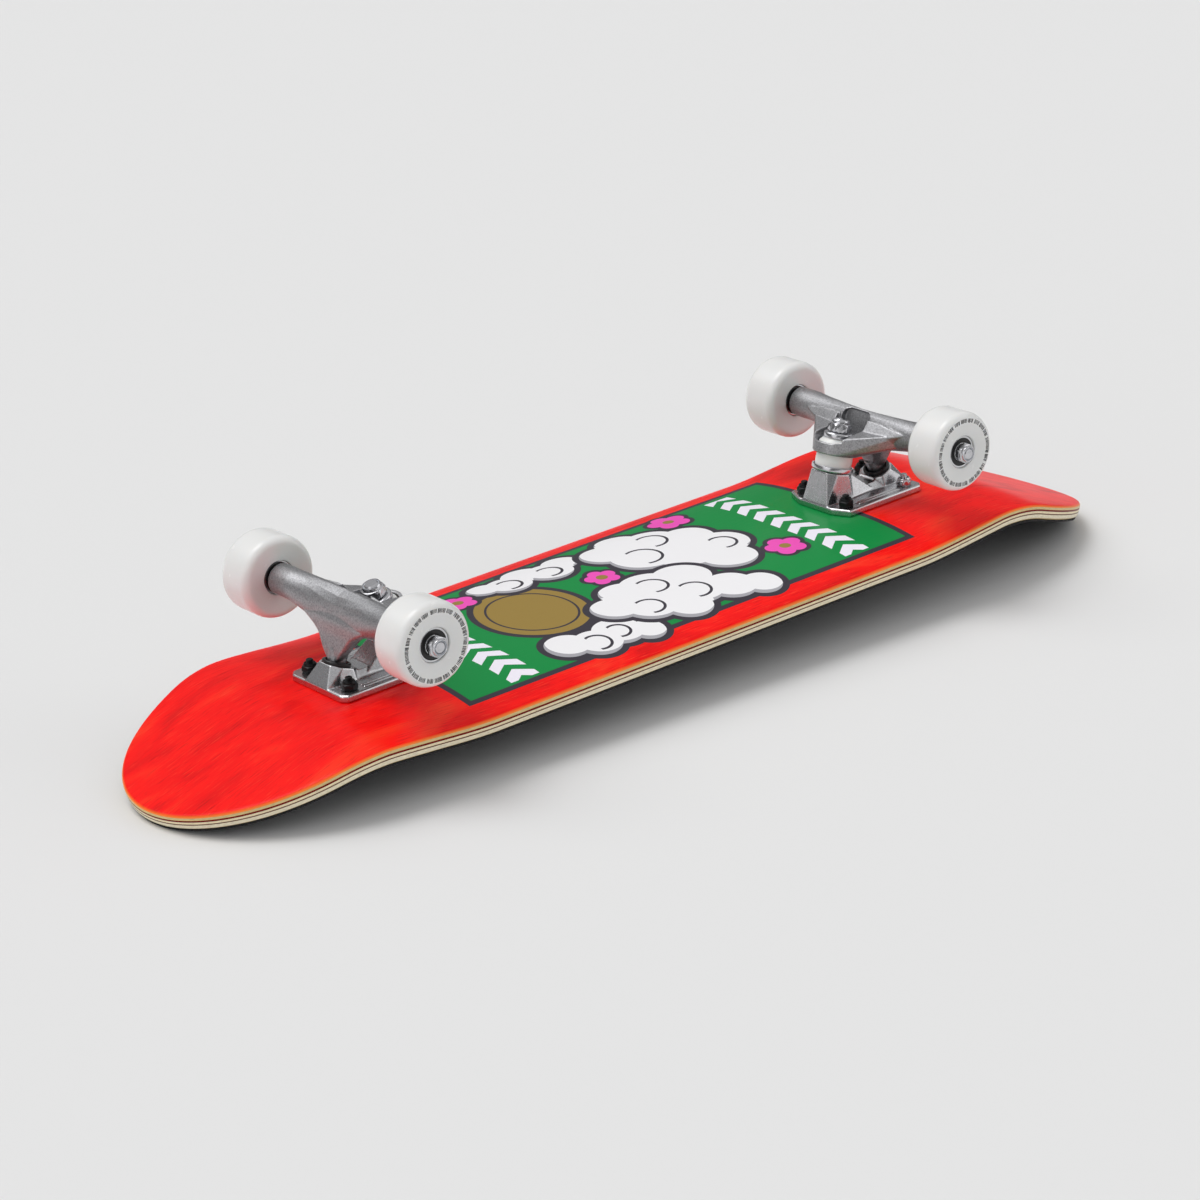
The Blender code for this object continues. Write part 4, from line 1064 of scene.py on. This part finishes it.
RING_RADIUS = 15.7
ring_points = circle_mm(kingpin_mm(RING_START + 0.8), RING_RADIUS)
ring_points += circle_mm(kingpin_mm(RING_END), RING_RADIUS)
ring_points += circle_mm(kingpin_mm(RING_START), RING_RADIUS - 0.8)
for side in (-1, 1):
    ring_points += [(-9.0, side * 43.0, 42.5), (-6.0, side * 43.0, 51.0)]
shoulders = []
for side in (-1, 1):
    shoulders.append(hull([(x, side * y, z) for x, y, z in (
        (-2.6, 48.0, 53.0), (-4.0, 40.0, 45.0), (-1.2, 14.5, 57.0), (-1.5, 14.5, 42.0), (9.5, 14.2, 43.5),
        (4.0, 24.0, 45.5), (-2.2, 30.0, 56.0), (-12.0, 30.0, 48.0))]))

# %% [markdown]
# Three cuts finish the casting: the two bushing seats on either side of a thin web, the rounded
# pocket behind the kingpin nut that lets a socket wrench in, and the bore for the axle.

# %% Cast the hanger
pocket = []
for x in (-17.5, 20.0):
    for y, height, start in ((13.5, 20.6, 0), (-13.5, 20.6, 90), (-13.5, -2.0, 180), (13.5, -2.0, 270)):
        corner = Vector((y - math.copysign(6.0, y), height - 6.0 if height > 0 else height))
        for step in range(7):
            turn = math.radians(start + 15 * step)
            radius = 6.0 if height > 0 else 0.0
            local = Vector((x, corner.x + radius * math.cos(turn), corner.y + radius * math.sin(turn)))
            pocket.append(kingpin_mm(RING_END) @ local)
            if height < 0:
                pocket.append(kingpin_mm(RING_END) @ Vector((x, y, 0.0)))
seats = turned([(0.01, RING_START - 12.0), (13.2, RING_START - 12.0), (13.2, WEB_START), (7.3, WEB_START),
                (7.3, WEB_END), (13.3, WEB_END), (13.3, RING_END + 14.0),
                (0.01, RING_END + 14.0)], 64, closed=False)
axle_bore = turned([(4.2, -100.0), (4.2, 100.0)], 32, closed=False)
hanger_shape = carved(
    beam_shape(),
    joined=[(plate_shape(), Matrix()), (nose_shape, PIVOT_PLACE), (hull(ring_points), Matrix())]
    + [(shoulder, Matrix()) for shoulder in shoulders],
    removed=((seats, kingpin_mm(0)), (hull(pocket), Matrix()), (axle_bore, AXLE_PLACE)),
    voxel=0.5, smoothing=2)
keep_made(hanger_shape, [vertex.co for vertex in hanger_shape.vertices])
print("hanger:", len(hanger_shape.polygons), "faces")

# %% [markdown]
# ## The baseplate
# The baseplate carries the kingpin in a tower and the pivot cup in a housing, with a low saddle
# between them. Two ribs run along each side between the bolts and stiffen the thin plate.

# %% Cast the baseplate
PLATE_TOP = 4.9
PLATE_HALF_WIDTH = 29.3
TOWER_HALF_WIDTH = 12.5


def plate_row(z, shrink):
    side = [(37.4, 16.1), (31.6, PLATE_HALF_WIDTH), (-34.0, PLATE_HALF_WIDTH), (-37.6, 25.1)]
    return mirrored([(x - math.copysign(shrink, x), y - shrink, z) for x, y in side])


def lofted(foot, top_points, top_placing):
    loops = [mirrored([(x, y, z) for x, y in foot]) for z in (1.0, PLATE_TOP)]
    loops.append([top_placing @ Vector(point) for point in mirrored([(x, y, 0.0) for x, y in top_points])])
    return make_mesh(*skin(loops, False))


plate = make_mesh(*skin([plate_row(0.05, 0.0), plate_row(PLATE_TOP - 0.6, 0.0), plate_row(PLATE_TOP, 0.6)],
                        False))
half = TOWER_HALF_WIDTH
tower = lofted([(36.9, half - 0.5), (29.0, half), (13.0, half), (-8.0, half - 1.0)],
               [(12.0, 7.6), (5.2, 11.2), (-5.4, 11.2), (-10.4, 8.0)], kingpin_mm(TOWER_TOP))
housing = lofted([(-8.0, half - 1.0), (-16.0, half + 1.0), (-30.0, half + 0.5), (-37.3, half - 1.0)],
                 [(9.6, 7.0), (5.5, 11.0), (-3.0, 11.0), (-8.8, 5.8)],
                 PIVOT_PLACE @ Matrix.Translation((0, 0, 4.2)))
saddle = hull([(x, side * y, z) for x in (-13, 13) for side in (-1, 1)
               for y, z in ((half, 1.0), (half, PLATE_TOP), (half - 4.0, 9.0))])
ribs = []
for side in (-1, 1):
    for y in (21.4, 24.6):
        ribs.append(hull([(x, side * (y + w), z) for x, w, z in (
            (-19.5, -0.8, 3), (-19.5, 0.8, 3), (19.5, -0.8, 3), (19.5, 0.8, 3),
            (-18.5, -0.4, PLATE_TOP + 0.9), (-18.5, 0.4, PLATE_TOP + 0.9),
            (18.5, -0.4, PLATE_TOP + 0.9), (18.5, 0.4, PLATE_TOP + 0.9))]))
kingpin_bore = turned([(KINGPIN_RADIUS + 0.1, -2.0), (KINGPIN_RADIUS + 0.1, 40.0)], 32, closed=False)
cup_bore = turned([(7.6, -7.3), (7.6, 12.0)], 32, closed=False)
bolt_bore = turned([(BOLT_RADIUS + 0.3, -5.0), (BOLT_RADIUS + 0.3, 20.0)], 24, closed=False)
head_pocket = turned([(8.3, -8.0), (8.3, KINGPIN_START + KINGPIN_HEAD_HEIGHT + 0.1)], 32, closed=False)
baseplate_shape = carved(
    plate,
    joined=[(mesh, Matrix()) for mesh in (tower, housing, saddle, *ribs)],
    removed=[(kingpin_bore, kingpin_mm(0)), (head_pocket, kingpin_mm(0)), (cup_bore, PIVOT_PLACE)]
    + [(bolt_bore, placing_mm(x, y)) for x, y in bolt_places],
    voxel=0.5, smoothing=3)
keep_made(baseplate_shape, [vertex.co for vertex in baseplate_shape.vertices])
print("baseplate:", len(baseplate_shape.polygons), "faces")

# %% [markdown]
# ## Kingpin, bushings, washers and cup
# These are shared by both trucks, so each shape is turned once and shown twice.

# %% Turn the truck's small pieces
def kingpin_shape():
    head = KINGPIN_FLATS / 2 * 1.06
    outline = [(head - 1.0, 0.0), (head, 0.6), (head, KINGPIN_HEAD_HEIGHT),
               (KINGPIN_RADIUS, KINGPIN_HEAD_HEIGHT + 0.01),
               (KINGPIN_RADIUS, 30.0), (KINGPIN_RADIUS, KINGPIN_LENGTH - 0.9),
               (KINGPIN_RADIUS - 0.9, KINGPIN_LENGTH)]
    return threaded(outline, 30.0, KINGPIN_LENGTH - 0.9, 1.05)


def cup_washer(radius):
    top = WASHER_THICKNESS + 2.4
    outline = [(KINGPIN_RADIUS + 0.15, 0), (radius - 1.6, 0), (radius - 0.4, 0.5), (radius, 1.2),
               (radius, top),
               (radius - 1.0, top), (radius - 1.0, WASHER_THICKNESS),
               (KINGPIN_RADIUS + 0.15, WASHER_THICKNESS)]
    return soft_turned(outline, 0.35)


def bushing(outline):
    return soft_turned(outline, 0.9, steps=5)


BORE = KINGPIN_RADIUS + 0.15
barrel_shape = bushing([(BORE, 0), (12.2, 0), (12.4, 3.0), (12.55, 5.7), (12.4, 8.4),
                        (12.2, BOARD_BUSHING_LENGTH),
                        (BORE, BOARD_BUSHING_LENGTH)])
cone_shape = bushing([(BORE, 0), (12.3, 0), (12.3, 2.4), (9.2, 5.6), (8.6, ROAD_BUSHING_LENGTH),
                      (BORE, ROAD_BUSHING_LENGTH)])
cup_ball = BALL_RADIUS + 0.35
bowl = [(cup_ball * math.cos(math.radians(d)), -cup_ball * math.sin(math.radians(d)))
        for d in range(5, 80, 12)]
cup_outline = [(7.6, 6.3)] + bowl + [(0.8, -cup_ball), (0.8, -7.0), (7.0, -7.0), (7.4, -6.4), (7.4, 4.35),
                                     (9.2, 4.35), (9.2, 5.8), (8.7, 6.3)]
cup_shape = soft_turned(cup_outline, 0.3)
turned_over = Matrix.Rotation(math.pi, 4, "X")
WRENCH_TURN = Matrix.Rotation(math.radians(-6), 4, "Z")     # how far the last pull of the wrench went
stack = (
    ("kingpin", kingpin_shape(), KINGPIN_START, zinc_steel, "zinc_steel"),
    ("kingpin_nut", lock_nut(KINGPIN_FLATS, KINGPIN_RADIUS, KINGPIN_NUT_HEIGHT), KINGPIN_NUT_START,
     zinc_steel,
     "zinc_steel"),
    ("board_side_washer", cup_washer(14.2), TOWER_TOP + SEAT_GAP, zinc_steel, "zinc_steel"),
)

# %% Assemble the trucks
def bushing_on_truck(end, name, shape, start):
    piece = show(f"{end}_{name}_look", shape, on_truck(end, kingpin_mm(start)), bushing_urethane, None)
    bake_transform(piece)
    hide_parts(f"{end}_{name}")


def truck_pieces(end):
    show(f"{end}_hanger_look", hanger_shape, on_truck(end, Matrix()), hanger_metal, f"{end}_hanger_body",
         [f"{end}_hanger"], sharp=180)
    show(f"{end}_baseplate_look", baseplate_shape, on_truck(end, Matrix()), baseplate_metal, "root",
         [f"{end}_baseplate"], sharp=180)
    show(f"{end}_pivot_cup_look", cup_shape, on_truck(end, PIVOT_PLACE), cup_urethane, "root",
         [f"{end}_pivot_cup"])
    for name, shape, start, material, slot in stack:
        show(f"{end}_{name}_look", shape, on_truck(end, kingpin_mm(start) @ WRENCH_TURN), material, "root",
             [f"{end}_{name}"])
    show(f"{end}_road_side_washer_look", cup_washer(10.2),
         on_truck(end, kingpin_mm(ROAD_WASHER_START + WASHER_THICKNESS) @ turned_over), zinc_steel, "root",
         [f"{end}_road_side_washer"])
    show(f"{end}_kingpin_nut_ring", nylon_ring(KINGPIN_FLATS, KINGPIN_RADIUS, KINGPIN_NUT_HEIGHT),
         on_truck(end, kingpin_mm(KINGPIN_NUT_START)), nylon, "root")
    bushing_on_truck(end, "board_side_bushing", barrel_shape, BOARD_BUSHING_START)
    bushing_on_truck(end, "road_side_bushing", cone_shape, ROAD_BUSHING_START)


for end in ("rear", "front"):
    truck_pieces(end)
print("trucks done")

# %% [markdown]
# ## Axle, wheels and bearings
# A wheel turns on two 608 bearings. A bearing's outer race and shield turn with the wheel, while
# its inner race is clamped on the axle between the spacer, the speed washers and the nut. So a
# bearing is shown as three pieces, and the inner race rides on the hanger.

# %% Turn the wheel set
WHEEL_RADIUS = 26.95
WHEEL_HALF_WIDTH = 14.25
BEARING_RADIUS = 11.0
BEARING_WIDTH = 7.0
SPACER_HALF = 4.8
AXLE_RADIUS = 3.97
AXLE_HALF_LENGTH = 99.6
AXLE_NUT_FLATS = 12.7
AXLE_NUT_HEIGHT = 5.4
AXLE_NUT_START = 13.4
AXLE_THREAD_LENGTH = 14.0


def wheel_side():
    """From the core out to the middle of the tread, on the +Z side."""
    rim = WHEEL_RADIUS - 4.46
    face = WHEEL_HALF_WIDTH - 1.3
    points = [(9.5, 0.0), (9.5, SPACER_HALF - 0.2), (11.05, SPACER_HALF - 0.1), (11.05, face - 0.45),
              (11.5, face)]
    points += [(14.0, face + 0.22), (18.0, face + 0.70), (21.0, WHEEL_HALF_WIDTH - 0.12),
               (rim, WHEEL_HALF_WIDTH)]
    for step in range(1, 11):
        turn = math.pi / 2 * step / 10
        points.append((rim + 4.46 * math.sin(turn), WHEEL_HALF_WIDTH - 6.05 * (1 - math.cos(turn))))
    return points


upper = wheel_side()
wheel_shape = turned(upper[1:] + [(radius, -height) for radius, height in reversed(upper)], 96)
outer_race_shape = plain_ring(9.55, BEARING_RADIUS, 0, BEARING_WIDTH, 0.3, 64)
shield_shape = soft_turned([(6.35, 0.45), (7.0, 0.3), (9.2, 0.3), (9.5, 0.5), (9.5, 6.5), (9.2, 6.7),
                            (7.0, 6.7), (6.35, 6.55)], 0.2, 64)
inner_race_shape = plain_ring(AXLE_RADIUS + 0.03, 6.25, 0.02, 6.98, 0.3)
speed_washer_shape = plain_ring(AXLE_RADIUS + 0.1, 5.9, 0, 1.5, 0.25)
spacer_shape = plain_ring(AXLE_RADIUS + 0.1, 5.4, -4.75, 4.75, 0.3)
axle_nut_shape = lock_nut(AXLE_NUT_FLATS, AXLE_RADIUS, AXLE_NUT_HEIGHT)
axle_nut_ring = nylon_ring(AXLE_NUT_FLATS, AXLE_RADIUS, AXLE_NUT_HEIGHT)
thread_from, thread_to = AXLE_HALF_LENGTH - AXLE_THREAD_LENGTH, AXLE_HALF_LENGTH - 0.7
half_axle = threaded([(AXLE_RADIUS, 0.0), (AXLE_RADIUS, thread_from), (AXLE_RADIUS, thread_to),
                      (AXLE_RADIUS - 0.7, AXLE_HALF_LENGTH)], thread_from, thread_to, 1.06)
axle_shape = carved(half_axle, joined=[(half_axle, placing_mm(0, 0, 0.5) @ turned_over)])

# %% Put the wheels on the axles
def wheel_set(end, side_name, side):
    name = f"{end}_{side_name}"
    outward = Matrix() if side > 0 else turned_over
    centre = AXLE_PLACE @ Matrix.Translation((0, 0, side * WHEEL_CENTRE_Y)) @ outward
    wheel_body, hanger_body = f"{name}_wheel_body", f"{end}_hanger_body"

    def part(label, shape, height, material, body, slot, stands_for=()):
        placing = on_truck(end, centre @ Matrix.Translation((0, 0, height)))
        show(f"{name}_{label}", shape, placing, material, body, stands_for)

    part("wheel_look", wheel_shape, 0.0, wheel_urethane, wheel_body, "white_urethane", [f"{name}_wheel"])
    for label, height in (("outer", SPACER_HALF), ("inner", -SPACER_HALF - BEARING_WIDTH)):
        part(f"{label}_bearing_outer_race", outer_race_shape, height, bearing_steel, wheel_body,
             "zinc_steel",
             [f"{name}_{label}_bearing"])
        part(f"{label}_bearing_shield", shield_shape, height, shield_rubber, wheel_body, "black_shield")
        part(f"{label}_bearing_inner_race", inner_race_shape, height, bearing_steel, hanger_body,
             "zinc_steel")
    part("bearing_spacer_look", spacer_shape, 0.0, zinc_steel, hanger_body, "zinc_steel",
         [f"{name}_bearing_spacer"])
    part("outer_speed_washer", speed_washer_shape, SPACER_HALF + BEARING_WIDTH + 0.02, zinc_steel,
         hanger_body,
         "zinc_steel")
    part("inner_speed_washer", speed_washer_shape, -SPACER_HALF - BEARING_WIDTH - 1.52, zinc_steel,
         hanger_body,
         "zinc_steel")
    part("axle_nut_look", axle_nut_shape, AXLE_NUT_START, zinc_steel, hanger_body, "zinc_steel",
         [f"{name}_axle_nut"])
    part("axle_nut_ring", axle_nut_ring, AXLE_NUT_START, nylon, hanger_body, "zinc_steel")


for end, sides in (("rear", (("left", -1), ("right", 1))), ("front", (("left", 1), ("right", -1)))):
    show(f"{end}_axle_look", axle_shape, on_truck(end, AXLE_PLACE), zinc_steel, f"{end}_hanger_body",
         [f"{end}_axle"])
    for side_name, side in sides:
        wheel_set(end, side_name, side)
print("wheels done")

# %% [markdown]
# ## Mounting bolts
# Eight flat-headed bolts come up through the grit paper and the deck, and lock nuts hold the
# baseplates. Seven are black, and one is left bright to mark the nose.

# %% Mounting bolts
BOLT_TIP = PAPER_FACE + 13.0
BOLT_THREAD_LENGTH = 13.0
BOLT_NUT_FLATS = 9.5
BOLT_NUT_HEIGHT = 5.6
thread_from, thread_to = BOLT_TIP - BOLT_THREAD_LENGTH, BOLT_TIP - 0.5
bolt_outline = [(BOLT_HEAD_RADIUS - 0.3, 0.0), (BOLT_HEAD_RADIUS, 0.3), (BOLT_HEAD_RADIUS, 0.6),
                (BOLT_RADIUS, BOLT_HEAD_HEIGHT), (BOLT_RADIUS, thread_from), (BOLT_RADIUS, thread_to),
                (BOLT_RADIUS - 0.5, BOLT_TIP)]
bolt_shape = threaded(bolt_outline, thread_from, thread_to, 0.8, sides=24)
bolt_nut_shape = lock_nut(BOLT_NUT_FLATS, BOLT_RADIUS + 0.05, BOLT_NUT_HEIGHT)
bolt_nut_ring = nylon_ring(BOLT_NUT_FLATS, BOLT_RADIUS, BOLT_NUT_HEIGHT)
for end, bright in (("rear", 0), ("front", 4)):
    for number, (x, y) in enumerate(bolt_places, start=1):
        metal, slot = (zinc_steel, "zinc_steel") if number == bright else (black_steel, "black_steel")
        show(f"{end}_bolt_{number}_look", bolt_shape, on_truck(end, placing_mm(x, y, -PAPER_FACE)), metal,
             "root",
             [f"{end}_bolt_{number}"])
        nut_place = on_truck(end, placing_mm(x, y, PLATE_TOP + 0.1, turn_z=17.0 * number))
        show(f"{end}_bolt_nut_{number}_look", bolt_nut_shape, nut_place, metal, "root",
             [f"{end}_bolt_nut_{number}"])
        show(f"{end}_bolt_nut_{number}_ring", bolt_nut_ring, nut_place, shield_rubber, "root")
print("bolts done")

# %% [markdown]
# ## Stage, light and camera
# A pale floor carries the board, and a sky of soft light surrounds it, as in a studio with large
# white walls. The light comes mostly from above and from the far side, which drops a soft shadow
# toward the camera.

# %% Floor
floor_mesh = bpy.data.meshes.new("floor")
reach = 30.0
floor_mesh.from_pydata([(x * reach, y * reach, 0.0) for x, y in ((-1, -1), (1, -1), (1, 1), (-1, 1))], [],
                       [(0, 1, 2, 3)])
floor = add_object("studio_floor", floor_mesh)
matt_paper, tree, shader = start_material("matt_backdrop_paper", Base_Color=linear("#E4E4E4"),
                                          Roughness=0.95)
shader.inputs["Specular IOR Level"].default_value = 0.0
floor_mesh.materials.append(matt_paper)

# %% Sky and sun
SKY_STRENGTH = 0.66
SUN_STRENGTH = 0.75
sky = bpy.data.worlds.new("studio_sky")
sky.use_nodes = True
bpy.context.scene.world = sky
tree = sky.node_tree
direction = add(tree, "ShaderNodeTexCoord").outputs["Generated"]
height = add(tree, "ShaderNodeSeparateXYZ", [direction]).outputs["Z"]
total = ramp(tree, height, [(0.0, grey(0.16)), (0.22, grey(0.34)), (0.75, grey(0.9))])
SOFTBOXES = (
    ((-0.35, 0.45, 0.82), 0.90, 0.94, 2.4),
    ((0.75, -0.62, 0.30), 0.88, 0.95, 1.5),
    ((-0.95, -0.25, 0.35), 0.90, 0.95, 1.2),
)
for aim, outer, inner, strength in SOFTBOXES:
    facing = vector_calc(tree, "DOT_PRODUCT", direction, Vector(aim).normalized())
    box = add(tree, "ShaderNodeMapRange",
              {"Value": facing.outputs["Value"], "From Min": outer, "From Max": inner,
                                           "To Max": strength})
    total = mix(tree, 1.0, total, box, "ADD")
feed(tree.nodes["Background"], "Color", total)
tree.nodes["Background"].inputs["Strength"].default_value = SKY_STRENGTH

sun_light = bpy.data.lights.new("window_sun", "SUN")
sun_light.energy = SUN_STRENGTH
sun_light.angle = math.radians(28)
sun = add_object("window_sun", sun_light)
sun.rotation_euler = Vector((0.20, -0.30, -1.0)).to_track_quat("-Z", "Y").to_euler()

# %% [markdown]
# The camera is set by the way it looks at the board: its turn round the board, its height angle,
# its roll, and how far it stands from the board's middle. A long lens keeps the wheels' sizes
# nearly even, as in catalogue pictures.

# %% Camera
CAMERA_TURN = -38.093
CAMERA_RISE = 22.022
CAMERA_ROLL = -3.8746
CAMERA_DISTANCE = 2355.8
CAMERA_SIDE_STEP = -15.6
CAMERA_LIFT = -12.0
CAMERA_LENS = 108.478

turn, rise, roll = (math.radians(angle) for angle in (CAMERA_TURN, CAMERA_RISE, CAMERA_ROLL))
back = Vector((math.sin(turn) * math.cos(rise), -math.cos(turn) * math.cos(rise), math.sin(rise)))
right = Vector((0, 0, 1)).cross(back).normalized()
up = back.cross(right)
stand = (back * CAMERA_DISTANCE + right * CAMERA_SIDE_STEP + up * CAMERA_LIFT) * MM
rolled_right = right * math.cos(roll) + up * math.sin(roll)
rolled_up = up * math.cos(roll) - right * math.sin(roll)
look = Matrix((rolled_right, rolled_up, back)).transposed().to_4x4()
lens = bpy.data.cameras.new("catalogue_camera")
lens.lens = CAMERA_LENS
lens.sensor_width = 36.0
lens.clip_end = 100.0
camera = add_object("catalogue_camera", lens)
camera.matrix_world = board_frame @ Matrix.Translation(stand) @ look
bpy.context.scene.camera = camera
bpy.context.scene.view_settings.view_transform = "Standard"
